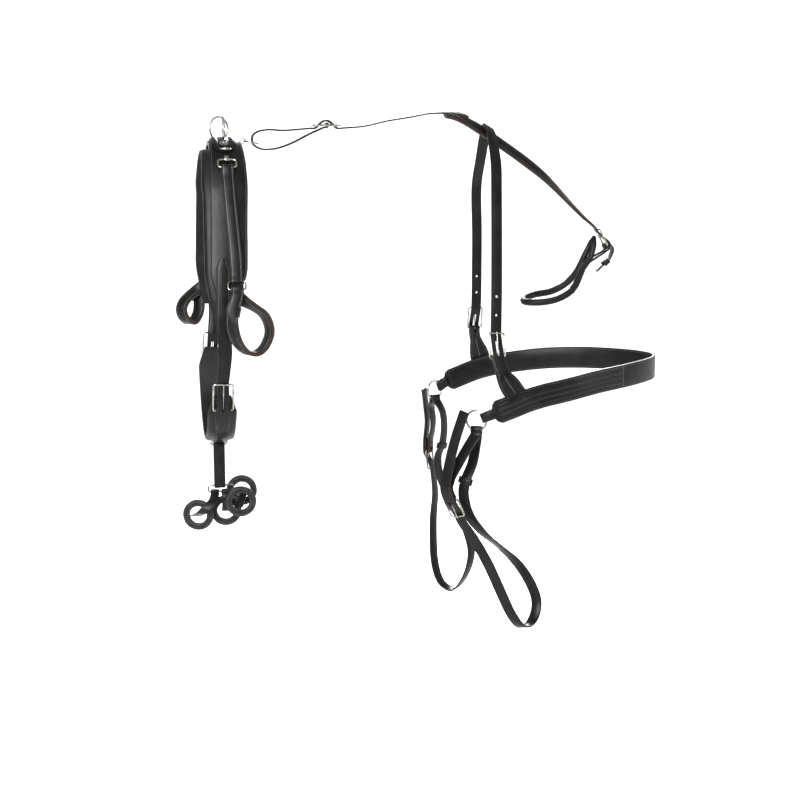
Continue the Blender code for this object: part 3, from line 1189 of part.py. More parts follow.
def make_holdback(name, side, rise, loop, heel_shares, tips):
    """One strap: from its buckle up over the ring, down round the big loop, and back through the buckle."""
    middle, wrap = ring_middle(side), RING_WRAP

    def at(tail, out, down):
        level = UPWARD * (down * HOLDBACK_DROP)
        return middle + TAILWARD * (tail * HOLDBACK_REACH) + FARWARD * (side * out * HOLDBACK_DEPTH) - level

    def wide(tail, out, up):
        return Vector((tail, side * out, up))

    way = ring_way(side)
    bar = middle - UPWARD * BREECHING_RING_RADIUS
    aside = Vector((-way.y * side, way.x * side, 0))
    slack = ring_bow(STRAP_WIDTH)
    over_ring = []
    for step in range(7):
        turn = pi * step / 6
        over_ring.append(bar + aside * wrap * cos(turn) + UPWARD * (slack + wrap * sin(turn)))
    rise_line = [at(*row[:3]) for row in rise] + [over_ring[0] - UPWARD * 2 * wrap]
    rise_wide = [wide(*row[3:]) for row in rise] + [way]
    loop_line = [over_ring[-1] - UPWARD * wrap] + [at(*row[:3]) for row in loop]
    loop_wide = [way] + [wide(*row[3:]) for row in loop]
    heel_place = at(*heel_shares)
    front_place = heel_place + (loop_line[-1] - heel_place).normalized() * SMALL_BUCKLE_LENGTH
    tip_line = [at(*row) for row in tips]
    buckle_wide = [loop_wide[-1]] * (3 + len(tips))
    through = Route([loop_line[-1], front_place, heel_place] + tip_line, buckle_wide, turn=-side)
    heel, tip = through.marks[2], through.reach[-1] - through.marks[2]

    under = [(heel + reach, 0) for reach in (CHAPE_PAST_HEEL / 2, CHAPE_PAST_HEEL)]
    centres, acrosses = on_route(through, chape_run(heel, -1, BAR_WRAP) + under)
    lift_wide = [acrosses[-1]] + rise_wide
    lift = [(point, between(lift_wide, place)) for point, place in flow([centres[-1]] + rise_line, 3)]
    centres += [point for point, _ in lift[1:]] + over_ring
    acrosses += [across for _, across in lift[1:]] + [way] * len(over_ring)
    hang = [(point, between(loop_wide, place)) for point, place in flow(loop_line, 3)]
    centres += [point for point, _ in hang]
    acrosses += [across for _, across in hang]
    last = billet_run(heel, -1, SMALL_BUCKLE_LENGTH, BAR_WRAP, tip)
    more, more_wide = on_route(through, last)
    body = strap(f"{name}_holdback", LEATHER, centres + more, acrosses + more_wide, STRAP_WIDTH, STRAP_THICK)
    chape_slot(body, through, heel, -1, BAR_WRAP)
    billet_slot(body, through, heel, -1, SMALL_BUCKLE_LENGTH, BAR_WRAP)
    pivot(body, bar)
    buckle_frame(f"{name}_holdback_buckle", through, heel, -1, SMALL_BUCKLE_LENGTH, STRAP_WIDTH, BAR_WRAP)
    buckle_tongue(f"{name}_holdback_tongue", through, heel, -1, SMALL_BUCKLE_LENGTH, BAR_WRAP)
    down = Route(loop_line, loop_wide, steps=3)
    half = STRAP_THICK / 2
    keeper(f"{name}_holdback_keeper", LEATHER, down, down.marks[3], STRAP_WIDTH, -half, half)


def hang_by(bar, wrap, shift, start):
    """A strap's half turn over a bar that runs tailward, from a short layer behind it to its near side."""
    points = [bar + TAILWARD * shift + FARWARD * wrap - UPWARD * start]
    for step in range(7):
        turn = pi * step / 6
        points.append(bar + TAILWARD * shift + FARWARD * wrap * cos(turn) + UPWARD * wrap * sin(turn))
    return points


def make_drop():
    """The staple under the girth, its strap, the link on that, and the straps with rubber rings."""
    face = GIRTH_STRAP_HEIGHT + STRAP_THICK / 2 + GAP
    wrap = wrap_radius(STAPLE_WIRE, STRAP_THICK)
    belly = UNDER.place(0, 0, face)
    bar = belly - UPWARD * (wrap + STRAP_THICK / 2)
    half, corner = STAPLE_WIDTH / 2, 2 * STAPLE_WIRE
    path = []
    for shift, level in ((-half, belly.z - GAP), (-half, bar.z + corner), (corner - half, bar.z)):
        path.append(Vector((belly.x + shift, 0, level)))
    path += [Vector((2 * belly.x - point.x, 0, point.z)) for point in path[::-1]]
    wire("girth_staple", NICKEL, path, FARWARD, STAPLE_WIRE, closed=False)

    link_bar = bar - UPWARD * DROP_REACH
    centres = []
    for middle, up in ((bar, 1), (link_bar, -1)):
        for step in range(7):
            turn = pi * step / 6
            centres.append(middle + FARWARD * up * wrap * cos(turn) + UPWARD * up * wrap * sin(turn))
    drop = strap("drop_strap", LEATHER, centres, [TAILWARD] * 14, DROP_STRAP_WIDTH, STRAP_THICK, closed=True)
    pivot(drop, bar)
    path = []
    for reach, shift in oblong(LINK_HEIGHT, LINK_WIDTH, 2 * LINK_WIRE):
        path.append(link_bar + TAILWARD * (shift + LINK_SHIFT) - UPWARD * reach)
    link = wire("drop_link", NICKEL, path, FARWARD, LINK_WIRE)
    pivot(link, link_bar)
    low_bar = link_bar - UPWARD * LINK_HEIGHT + TAILWARD * LINK_SHIFT

    def at(tail, far, down):
        level = FARWARD * far * CLUSTER_DEPTH - UPWARD * down * CLUSTER_DROP
        return low_bar + TAILWARD * tail * CLUSTER_REACH + level

    wrap = wrap_radius(LINK_WIRE, RING_STRAP_THICK)
    wides = {"a": [Vector(STRAP_A_WIDE_SHARES)] * len(STRAP_A_SHARES)}
    wides["b"] = [Vector(row) for row in STRAP_B_WIDE_SHARES]
    tables = (("a", STRAP_A_SHIFT_SHARE, STRAP_A_SHARES), ("b", STRAP_B_SHIFT_SHARE, STRAP_B_SHARES))
    for letter, shift_share, table in tables:
        over = hang_by(low_bar, wrap, shift_share * LINK_WIDTH, 1.2 * wrap)
        line = flow([over[-1]] + [at(*row) for row in table], 3)
        wide = [TAILWARD] + wides[letter]
        centres = over + [point for point, _ in line[1:]]
        acrosses = [TAILWARD] * len(over) + [between(wide, place) for _, place in line[1:]]
        body = strap(f"rubber_strap_{letter}", LEATHER, centres, acrosses, RING_STRAP_WIDTH, RING_STRAP_THICK)
        pivot(body, low_bar)
    width = RUBBER_OUTER - RUBBER_BORE
    profile = [(RUBBER_BORE + width * out, RUBBER_THICK / 2 * up) for out, up in RUBBER_SHARES]
    for letter, row in RUBBER_PLACE_SHARES.items():
        ring = turned(f"rubber_ring_{letter}", RUBBER, at(*row[:3]), Vector(row[3:]), profile)
        pivot(ring, at(*row[:3]))


for leftover in list(bpy.data.objects):
    bpy.data.objects.remove(leftover)
make_panels()
make_tree()
make_skirt_and_seat()
make_terrets()
make_tugs()
make_girth()
make_back_ring()
make_backstrap()
make_crupper()
make_hips()
make_breeching()
make_holdback("near", NEAR, NEAR_RISE_SHARES, NEAR_LOOP_SHARES, NEAR_HEEL_SHARES, NEAR_TIP_SHARES)
make_holdback("far", FAR, FAR_RISE_SHARES, FAR_LOOP_SHARES, FAR_HEEL_SHARES, FAR_TIP_SHARES)
make_drop()
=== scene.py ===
"""Looks of the pony driving harness: dressed straps, stitching, stuffed pads, nickel wire and rubber rings.

Metres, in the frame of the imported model: +X runs from the head to the tail, the near side is -Y and +Z is
up. Each strap follows the same route as its solid and replaces it, with rounded and creased edges,
stitching and leather grain.
"""

import json
from math import ceil, cos, floor, pi, radians, sin

import bmesh
import bpy
from mathutils import Matrix, Vector


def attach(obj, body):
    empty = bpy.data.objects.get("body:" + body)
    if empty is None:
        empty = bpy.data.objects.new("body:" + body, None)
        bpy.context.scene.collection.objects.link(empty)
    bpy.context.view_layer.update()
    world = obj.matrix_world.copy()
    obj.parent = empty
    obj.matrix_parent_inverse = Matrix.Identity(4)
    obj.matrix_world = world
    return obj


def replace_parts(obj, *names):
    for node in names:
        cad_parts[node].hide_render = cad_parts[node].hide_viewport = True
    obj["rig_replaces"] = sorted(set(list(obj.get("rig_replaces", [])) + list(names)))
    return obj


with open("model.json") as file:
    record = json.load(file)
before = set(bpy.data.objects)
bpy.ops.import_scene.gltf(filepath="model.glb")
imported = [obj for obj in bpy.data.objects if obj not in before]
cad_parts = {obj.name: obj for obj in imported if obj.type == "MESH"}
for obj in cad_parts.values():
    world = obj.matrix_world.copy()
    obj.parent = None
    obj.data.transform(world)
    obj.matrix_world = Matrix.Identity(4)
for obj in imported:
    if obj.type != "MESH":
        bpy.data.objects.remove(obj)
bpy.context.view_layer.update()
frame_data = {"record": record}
body_of_node = {}
for body_name, node_names in frame_data["record"]["behaviour"]["bodies"].items():
    for node_name in node_names:
        body_of_node[node_name] = body_name

# Names of the looks, each of which is a material made below
LEATHER, PADDING, RUBBER = "black_leather", "stuffed_leather", "black_rubber"
NICKEL, STEEL = "nickel", "tree_steel"

TAILWARD = Vector((1, 0, 0))
FARWARD = Vector((0, 1, 0))
UPWARD = Vector((0, 0, 1))
NEAR, FAR = -1, 1
SIDES = {"near": NEAR, "far": FAR}

# Clearance between pieces that touch, and how far a cutter runs past what it cuts
GAP = 0.0004
OVERRUN = 0.0015

# Leather thicknesses and strap widths
STRAP_THICK = 0.0030
THIN_THICK = 0.0024
TUG_THICK = 0.0070
STRAP_WIDTH = 0.0185
TUG_STRAP_WIDTH = 0.0200
GIRTH_STRAP_WIDTH = 0.0250
DOCK_STRAP_WIDTH = 0.0160

# The horse's barrel under saddle and girth: half width, depth, how far its sides start below the ridge of
# the back, and how far the girth hangs forward
BARREL_HALF = 0.115
BARREL_DEPTH = 0.476
BARREL_SINK = 0.006
GIRTH_FORWARD = 0.011
# One side of the barrel from the spine to the belly: forward, outward and downward
BARREL_SHARES = (
    (0, 0, 0), (0, 0.20, 0.008), (0, 0.41, 0.045), (0, 0.62, 0.125), (0, 0.82, 0.290), (0, 0.92, 0.390),
    (-0.2, 0.99, 0.540), (-0.7, 0.99, 0.670), (-1, 0.93, 0.775), (-1, 0.78, 0.875), (-1, 0.50, 0.955),
    (-1, 0.20, 0.995), (-1, 0, 1),
)

# How far down each side, from the spine, pieces of the saddle start and end
SADDLE_REACH = 0.310
PANEL_TOP = 0.008
TREE_REACH = 0.105
SEAT_REACH = 0.044
TREE_FADE = 0.036

# Spacing of the sections of layered straps, and of those that twist
LAYER_STEP = 0.010
TWIST_STEP = 0.005
# No section lies nearer to an end than this share of a step
END_SHARE = 0.2

PANEL_WIDTH = 0.078
PANEL_THICK = 0.0125
PANEL_END_SHARE = 0.45
SKIRT_WIDTH = 0.060
SKIRT_THICK = 0.0030
TREE_WIDTH = 0.044
TREE_THICK = 0.0032
TREE_SHIFT = 0.002
SEAT_WIDTH = 0.040
SEAT_THICK = 0.0055
SEAT_SHIFT = 0.004
# Outlines as shares of reach, then of width to the front and to the rear
PANEL_SHARES = (
    (0.02, -0.40, 0.42), (0.19, -0.44, 0.45), (0.30, -0.465, 0.47), (0.36, -0.445, 0.46), (0.59, -0.46, 0.45),
    (0.76, -0.47, 0.42), (0.82, -0.44, 0.34), (0.88, -0.39, 0.20), (0.94, -0.36, 0.10), (1, -0.28, 0.03),
)
SKIRT_SHARES = (
    (0, -0.31, 0.54), (0.19, -0.35, 0.62), (0.31, -0.39, 0.63), (0.59, -0.43, 0.56), (0.765, -0.48, 0.52),
    (0.815, -0.41, 0.35), (0.88, -0.32, 0.15), (1, -0.27, 0.04),
)
SEAT_SHARES = ((0, -0.5, 0.5), (0.70, -0.5, 0.5), (0.88, -0.42, 0.42), (1, -0.22, 0.22))
# Cross sections as shares of width and of thickness: a flat strap, a stuffed pad and the ridged seat
FLAT_SHARES = ((-0.5, -0.5), (0.5, -0.5), (0.5, 0.5), (-0.5, 0.5))
PAD_SHARES = (
    (-0.47, -0.5), (0.47, -0.5), (0.5, -0.2), (0.49, 0.12), (0.42, 0.36), (0.25, 0.48), (0, 0.5),
    (-0.25, 0.48), (-0.42, 0.36), (-0.49, 0.12), (-0.5, -0.2),
)
SEAT_RIDGE_SHARES = (
    (-0.5, -0.5), (0.5, -0.5), (0.5, 0.1), (0.40, 0.5), (0.28, 0.5), (0.22, 0.2), (0.12, 0.5), (-0.12, 0.5),
    (-0.22, 0.2), (-0.28, 0.5), (-0.40, 0.5), (-0.5, 0.1),
)

# Terrets
TERRET_RADIUS = 0.0195
TERRET_WIRE = 0.0018
TERRET_FOOT_RADIUS = 0.0075
TERRET_FOOT_HEIGHT = 0.0060
TERRET_NECK_RADIUS = 0.0034
# Shares of the foot's height where its base ends and its neck starts, then of the neck's radius at its top
TERRET_BASE_SHARE = 0.35
TERRET_NECK_SHARE = 0.6
TERRET_TOP_SHARE = 0.8
TERRET_POINTS = 18
TERRET_DOWN = 0.033
NEAR_TERRET_YAW = 8
FAR_TERRET_YAW = 55

# The dee on each side of the saddle, its clip, and the tug's strap and ring below it
CLIP_WIDTH = 0.0070
CLIP_THICK = 0.0012
CLIP_REACH = 0.0110
DEE_WIRE = 0.0019
DEE_WIDTH = 0.0290
DEE_HEIGHT = 0.0150
DEE_DOWN = 0.060
DEE_SHIFT = 0.006
TUG_RING_WIRE = 0.0015
TUG_RING_WIDTH = 0.0280
TUG_RING_HEIGHT = 0.0145
TUG_RING_DOWN = 0.250
TUG_RING_LEAN = 30
NEAR_TUG_DRIFT = 0.007
FAR_TUG_DRIFT = -0.022
# The tug's loop, from its ring: width and depth of its opening, and how far it hangs
TUG_LOOP_WIDTH = 0.056
TUG_LOOP_DEPTH = 0.016
TUG_LOOP_DROP = 0.104
# Tailward, outward and downward shares of these, then the strap's width direction: tailward and outward
NEAR_TUG_LOOP_SHARES = (
    (0, 0.35, 0.06, 1, 0), (-0.05, 0.48, 0.17, 1, 0), (-0.14, 0.66, 0.32, 1, 0.05),
    (-0.18, 0.72, 0.52, 0.9, 0.4), (-0.06, 0.58, 0.78, 0.7, 0.7), (0.20, 0.28, 0.96, 0.5, 0.85),
    (0.50, -0.05, 1.0, 0.45, 0.9), (0.76, -0.30, 0.90, 0.45, 0.9), (0.92, -0.38, 0.66, 0.5, 0.85),
    (0.78, -0.38, 0.42, 0.6, 0.8), (0.46, -0.36, 0.28, 0.7, 0.7), (0.18, -0.35, 0.18, 0.9, 0.35),
    (0.04, -0.35, 0.10, 1, 0.1), (0, -0.34, 0.05, 1, 0),
)
FAR_TUG_LOOP_SHARES = (
    (0, 0.35, 0.06, 1, 0), (-0.06, 0.50, 0.17, 1, 0), (-0.14, 0.62, 0.30, 0.97, -0.15),
    (-0.21, 0.62, 0.45, 0.9, -0.4), (-0.24, 0.50, 0.62, 0.85, -0.5), (-0.34, 0.25, 0.75, 0.83, -0.56),
    (-0.50, -0.15, 0.82, 0.83, -0.56), (-0.66, -0.75, 0.77, 0.83, -0.56), (-0.78, -1.15, 0.67, 0.83, -0.56),
    (-0.81, -1.25, 0.55, 0.83, -0.56), (-0.70, -0.95, 0.43, 0.85, -0.5), (-0.50, -0.42, 0.34, 0.92, -0.35),
    (-0.28, -0.15, 0.26, 0.97, -0.2), (-0.10, -0.18, 0.18, 1, -0.1), (-0.02, -0.28, 0.11, 1, 0),
    (0, -0.34, 0.05, 1, 0),
)
# Where the keeper sewn round the loop's first run starts and ends, as shares of the loop
TUG_KEEPER_SHARES = (0.344, 0.367, 0.390)

# Girth and its billets: how far the heel bars of its buckles lie below the saddle's ends
NEAR_GIRTH_BELOW = 0.147
FAR_GIRTH_BELOW = 0.096
GIRTH_WIDTH = 0.048
GIRTH_THICK = 0.0090
GIRTH_EDGE_SHARE = 0.6
GIRTH_PAST_HEEL = 0.020
GIRTH_TAPER = 0.030
GIRTH_END_SHARE = 0.58
BILLET_TOP = 0.213
BILLET_SHIFT = 0.008
BILLET_NARROW = 0.019
BILLET_FULL = GIRTH_STRAP_WIDTH * 0.9
BILLET_SHOULDER_UP = 0.052
BILLET_PAST_HEEL = 0.038
CHAPE_PAST_HEEL = 0.022

# Buckles: wire radius, clear width beyond the strap, and length between the bars
BUCKLE_WIRE = 0.0016
BUCKLE_SPARE = 0.0020
GIRTH_BUCKLE_LENGTH = 0.044
SMALL_BUCKLE_LENGTH = 0.033
TONGUE_WIRE = 0.0010
SLOT_SPARE = 0.0012
SLOT_SHARE = 0.66
KEEPER_THICK = 0.0018
KEEPER_LENGTH = 0.0110
KEEPER_SPARE = 0.0012

# Ring at the rear of the saddle, its staple, and the front loop of the backstrap with its slide
EYE_RADIUS = 0.0042
EYE_WIRE = 0.0014
EYE_POINTS = 12
EYE_OUT = 0.0395
EYE_UP = 0.0040
EYE_STEM_WIDTH = 0.0070
BACK_RING_RADIUS = 0.0125
BACK_RING_WIRE = 0.0014
BACK_RING_TILT = 9
BACK_RING_POINTS = 18
BACK_START = 0.053
CROUP_REACH = 0.340
CROUP_RISE = 0.060
TAIL_REACH = 0.270
TAIL_DROP = 0.190
BACKSTRAP_THICK = 0.0060
BACKSTRAP_TWIST = 58
# How far it has twisted at the croup and at each place after it
TWIST_SHARES = (0.35, 0.7, 1, 1, 1, 0.8, 0.4, 0)
OVERLAP_REACH = 0.034
# Tailward and upward shares of reach and rise from the slide to the croup, then on to the crupper
SPINE_SHARES = ((0.44, 0.56), (0.56, 0.62), (0.67, 0.76), (0.78, 0.86), (0.90, 0.98), (1, 1))
TAIL_SHARES = (
    (0.10, 0.045), (0.21, 0.135), (0.35, 0.265), (0.52, 0.43), (0.66, 0.58), (0.86, 0.855), (1, 1.045),
)
UPPER_RUN_SHARES = ((0.25, 0.52), (0.16, 0.50), (0.085, 0.52), (0.035, 0.47))
FRONT_FOLD_SHARES = ((0.010, 0.38), (0.004, 0.25), (0.011, 0.11))
LOWER_RUN_SHARES = ((0.045, 0.0), (0.085, -0.02), (0.14, 0.03), (0.21, 0.18), (0.265, 0.34), (0.305, 0.45))
SLIDE_SHARE = 0.370
SLIDE_LENGTH = 0.044
SLIDE_WIRE = 0.0016
SLIDE_PLAY = 0.0014

# Hip strap and uptugs: where it crosses the backstrap, half its span, its drop and its sway
HIP_CROSS_SHARE = 0.28
HIP_TOP = 0.0040
HIP_SWAY = 0.040
# Outward, downward, near sway and far sway shares
HIP_SHARES = (
    (0, 0, 0, 0), (0.095, 0.020, 0, 0), (0.34, 0.135, -0.07, 0.05), (0.568, 0.245, -0.32, 0.13),
    (0.733, 0.428, -0.50, 0.35), (0.819, 0.613, -0.59, 0.45), (0.87, 0.726, -0.66, 0.50),
    (0.905, 0.800, -0.70, 0.50), (0.935, 0.865, -0.66, 0.52), (0.965, 0.920, -0.46, 0.66),
    (0.985, 0.960, -0.20, 0.80), (1, 1, 0.10, 0.90),
)
UPTUG_REACH = 0.072
HIP_BUCKLE_LENGTH = 0.040
HIP_TIP_REACH = CHAPE_PAST_HEEL * 1.4
UPTUG_FOOT_WIDTH = 0.036
UPTUG_CLEAR = 0.0030
# How fast an uptug widens towards its foot, and where that starts
UPTUG_FLARE = 2.2
UPTUG_FLARE_FROM = 0.5

# Breeching: half width, reach, height and thickness, and how its middle line rises to the rear
BREECHING_HALF = 0.165
BREECHING_START = 0.404
BREECHING_REACH = 0.366
BREECHING_DROP = 0.445
BREECHING_RISE = 0.061
BREECHING_HEIGHT = 0.040
BREECHING_THICK = 0.0050
BREECHING_BOW_SHARE = 1.045
BREECHING_CHAPE_WIDTH = 0.0165
# Tailward, outward and upward shares, from the ring to the middle of the rear
BREECHING_SHARES = (
    (0.125, BREECHING_BOW_SHARE, 0.33), (0.26, BREECHING_BOW_SHARE, 0.61), (0.43, 0.99, 0.79),
    (0.59, 0.86, 0.92), (0.755, 0.67, 0.98), (0.89, 0.43, 1.0), (0.97, 0.21, 1.0), (1, 0, 1.0),
)
BREECHING_RING_RADIUS = 0.0172
BREECHING_RING_WIRE = 0.0018
BREECHING_RING_YAW = 30
BREECHING_RING_POINTS = 22
BREECHING_RING_OUT_SHARE = 0.95
BREECHING_LIFT = 24
CHAPE_REACH = 0.014
CHAPE_FLARE = 0.010
# The uptugs' feet lie on the outside of the breeching, just above the level of its rings
HIP_FOOT_UP = 0.005
HIP_DROP = BREECHING_DROP - HIP_FOOT_UP
HIP_HALF = BREECHING_HALF * BREECHING_BOW_SHARE + (BREECHING_THICK + STRAP_THICK) / 2 + UPTUG_CLEAR

# Holdbacks, from the middle of each ring: reach tailward, drop and how far the strap stands off outward
HOLDBACK_REACH = 0.120
HOLDBACK_DROP = 0.360
HOLDBACK_DEPTH = 0.020
# Tailward, outward and downward shares, then the width direction: tailward, outward and upward.
# Each strap runs from its buckle up to the ring, back down, round the big loop and up to the buckle.
NEAR_RISE_SHARES = (
    (-0.37, 0.50, 0.25, 0.68, 0.70, 0.20), (-0.28, 0.70, 0.19, 0.70, 0.70, 0.15),
    (-0.16, 0.70, 0.12, 0.72, 0.68, 0.05),
)
NEAR_LOOP_SHARES = (
    (0.02, -0.75, 0.13, 0.72, 0.68, 0), (-0.03, -0.60, 0.21, 0.75, 0.65, 0.1),
    (-0.13, -0.50, 0.29, 0.8, 0.5, 0.1), (-0.155, -0.50, 0.36, 0.85, 0.4, 0),
    (-0.07, -0.60, 0.455, 0.85, 0.4, -0.2), (0.13, -0.80, 0.545, 0.8, 0.4, -0.3),
    (0.40, -1.0, 0.625, 0.75, 0.4, -0.4), (0.66, -1.0, 0.71, 0.8, 0.4, -0.3),
    (0.87, -0.9, 0.82, 0.85, 0.5, 0), (0.94, -0.6, 0.91, 0.85, 0.55, 0.1),
    (0.85, -0.1, 0.985, 0.8, 0.6, 0.15), (0.68, 0.50, 1.0, 0.75, 0.65, 0.2),
    (0.50, 0.90, 0.93, 0.75, 0.55, 0.35), (0.33, 0.90, 0.81, 0.75, 0.5, 0.4),
    (0.15, 0.70, 0.675, 0.75, 0.5, 0.35), (-0.04, 0.40, 0.56, 0.72, 0.55, 0.3),
    (-0.21, 0.25, 0.475, 0.68, 0.65, 0.22),
)
NEAR_HEEL_SHARES = (-0.365, 0.45, 0.358)
NEAR_TIP_SHARES = (
    (-0.42, 0.51, 0.305), (-0.41, 0.60, 0.25), (-0.36, 0.72, 0.18), (-0.28, 0.80, 0.07), (-0.16, 0.82, -0.05),
)
FAR_RISE_SHARES = (
    (0.01, 1.0, 0.21, 0.62, 0.75, 0), (0.01, 0.93, 0.16, 0.66, 0.72, 0), (-0.02, 0.80, 0.10, 0.70, 0.70, 0),
)
FAR_LOOP_SHARES = (
    (0.10, -0.70, 0.11, 0.72, 0.68, 0), (0.13, -0.60, 0.20, 0.75, 0.65, 0),
    (0.10, -0.50, 0.29, 0.8, 0.55, 0.05), (0.04, -0.40, 0.35, 0.8, 0.5, 0),
    (0.06, -0.50, 0.44, 0.85, 0.45, -0.1), (0.20, -0.70, 0.555, 0.8, 0.45, -0.3),
    (0.38, -0.90, 0.665, 0.8, 0.4, -0.3), (0.51, -1.0, 0.77, 0.85, 0.4, -0.1),
    (0.57, -0.90, 0.87, 0.85, 0.5, 0.05), (0.50, -0.60, 0.99, 0.8, 0.55, 0.2),
    (0.33, 0.0, 1.08, 0.75, 0.65, 0.1), (0.15, 0.60, 1.05, 0.8, 0.6, 0), (0.05, 0.85, 0.95, 0.85, 0.5, 0),
    (0.02, 0.90, 0.82, 0.85, 0.5, 0), (0.02, 0.85, 0.68, 0.8, 0.55, 0), (0.04, 0.70, 0.56, 0.7, 0.65, 0),
    (0.01, 0.55, 0.475, 0.62, 0.75, 0),
)
FAR_HEEL_SHARES = (-0.03, 0.85, 0.330)
FAR_TIP_SHARES = ((-0.02, 0.98, 0.24), (0.0, 1.0, 0.17), (-0.03, 0.95, 0.08), (-0.06, 0.90, 0.0))

# Crupper: how far its strap bends forward past the buckle, then its stuffed loop, which starts under the
# buckle: how far up, and how much room for its swing
CRUPPER_TURN = 20
CRUPPER_BEND = 72
CRUPPER_BEND_AT = 0.0135
CRUPPER_TAB = 0.022
CRUPPER_CLEAR = 0.0036
# How far the loop under the tail reaches down and forward, its half width and stuffing
CRUPPER_REACH = 0.1266
CRUPPER_DROP = 0.1083
CRUPPER_HALF = 0.028
CRUPPER_TUBE = 0.0062
CRUPPER_YOKE = 0.0046
# Tailward, outward and downward shares from its top to its middle, near side and far side
CRUPPER_NEAR_SHARES = (
    (-0.02, 0.28, 0.12), (-0.07, 0.30, 0.32), (-0.18, 0.42, 0.475), (-0.28, 0.76, 0.68), (-0.37, 0.93, 0.82),
    (-0.50, 0.97, 0.92), (-0.656, 0.97, 0.98), (-0.85, 0.84, 1.01), (-0.965, 0.45, 1.015), (-1, 0, 1.01),
)
CRUPPER_FAR_SHARES = (
    (-0.03, 0.28, 0.10), (-0.10, 0.30, 0.27), (-0.19, 0.50, 0.53), (-0.31, 0.86, 0.74), (-0.43, 0.97, 0.83),
    (-0.557, 0.97, 0.89), (-0.70, 0.93, 0.915), (-0.85, 0.80, 0.94), (-0.965, 0.42, 0.98),
)
# Tailward and downward shares where the two layers of the buckle's chape are sewn into the loop, then how
# its upper layer leaves the bar, as shares of the radius round it
CHAPE_SEAT_SHARES = ((-0.075, 0.33), (-0.11, 0.42))
CHAPE_END_SHARES = ((1, 0.85), (2.2, 0.3))
CRUPPER_TIP_REACH = 0.054
CRUPPER_SWELL_STEPS = 8
CRUPPER_SIDES = 8
CRUPPER_KEEPER_DOWN = 0.030

# Under the girth: staple, drop strap, link, and the rubber rings on their straps
STAPLE_WIDTH = 0.0285
STAPLE_WIRE = 0.0016
DROP_STRAP_WIDTH = 0.0190
DROP_REACH = 0.072
LINK_WIDTH = 0.0430
LINK_HEIGHT = 0.0110
LINK_WIRE = 0.0016
LINK_SHIFT = 0.002
RING_STRAP_WIDTH = 0.0150
RING_STRAP_THICK = 0.0024
CLUSTER_REACH = 0.040
CLUSTER_DEPTH = 0.020
CLUSTER_DROP = 0.036
RUBBER_OUTER = 0.0265
RUBBER_BORE = 0.0150
RUBBER_THICK = 0.0090
# Radial share from bore to outer, then height share of half the thickness: a stepped, grooved ring
RUBBER_SHARES = (
    (0, 0.45), (0.16, 0.80), (0.36, 0.80), (0.44, 0.50), (0.54, 0.95), (0.80, 1), (1, 0.55), (1, -0.55),
    (0.80, -1), (0.54, -0.95), (0.44, -0.50), (0.36, -0.80), (0.16, -0.80), (0, -0.45),
)
# Tailward, farward and downward shares from the middle of the link's lower bar
STRAP_A_SHIFT_SHARE = -0.245
STRAP_B_SHIFT_SHARE = 0.187
STRAP_A_SHARES = (
    (-0.325, -0.80, 0.14), (-0.475, -1.45, 0.33), (-0.80, -1.60, 0.69), (-1.02, -0.70, 1.0),
    (-1.15, 0.15, 1.17), (-1.22, 0.65, 1.22),
)
STRAP_B_SHARES = (
    (0.20, -0.40, 0.17), (0.20, -0.45, 0.47), (0.20, -0.35, 0.75), (0.20, 0, 0.94), (0.22, 0.55, 1.02),
    (0.33, 1.10, 0.95), (0.50, 1.45, 0.70), (0.75, 1.45, 0.35), (0.92, 0.70, 0.08), (0.95, 0.10, 0.11),
    (0.90, -0.40, 0.25), (0.80, -0.90, 0.42), (0.72, -1.40, 0.53), (0.67, -1.80, 0.61),
)
# Width directions of the second strap at each of its places: tailward, farward and upward
STRAP_B_WIDE_SHARES = (
    (1, 0, 0), (1, 0, 0), (1, 0, 0), (1, 0, 0), (0.97, -0.1, 0), (0.95, -0.15, 0.1), (0.9, -0.1, 0.35),
    (0.8, 0.1, 0.6), (0.8, 0.1, 0.6), (0.8, 0.1, 0.6), (0.85, 0, 0.5), (0.9, -0.1, 0.4), (0.9, -0.1, 0.4),
    (0.9, -0.1, 0.4),
)
# Middle of each rubber ring, then its axis: tailward, farward and downward
RUBBER_PLACE_SHARES = {
    "a": (-1.02, -0.70, 1.0, 0.30, 0.95, 0), "b": (0.92, 0.70, 0.08, 0, 1, 0),
    "c": (0.80, -0.90, 0.42, 0, 1, 0), "d": (0.20, 0, 0.94, 0, 1, 0),
}
STRAP_A_WIDE_SHARES = (0.95, -0.30, 0)

# Camera: what it looks at, how far it stands, its angles in degrees and its lens in millimetres
VIEW_TARGET = Vector((0.306, 0, -0.434))
VIEW_DISTANCE = 2.6
VIEW_AZIMUTH = -11.5
VIEW_ELEVATION = 10.0
VIEW_LENS = 66.857
VIEW_SENSOR = 36

# Studio: strength of the surround, the lights, and a floor that rises in a bend to a round wall
WORLD_STRENGTH = 0.75
OVERHEAD_STRENGTH = 1.8
OVERHEAD_ANGLE = 40
OVERHEAD_WAY = (0.4, 0.8, -0.9)
# Name, way from what the camera looks at, size and power
SOFT_LIGHTS = (
    ("key", (-1.3, -2.4, 1.1), (1.2, 1.2), 190),
    ("side", (2.4, -1.2, 0.6), (1.0, 1.8), 30),
    ("rear", (0.8, 2.6, 1.2), (1.2, 1.2), 120),
)
FLOOR_LEVEL = -1.3
FLOOR_COLOUR = (0.97, 0.97, 0.97)
FLOOR_ROUGHNESS = 0.95
WALL_REACH = 9.0
WALL_BEND = 2.5
WALL_HEIGHT = 5.0
WALL_SIDES = 64
BEND_STEPS = 16

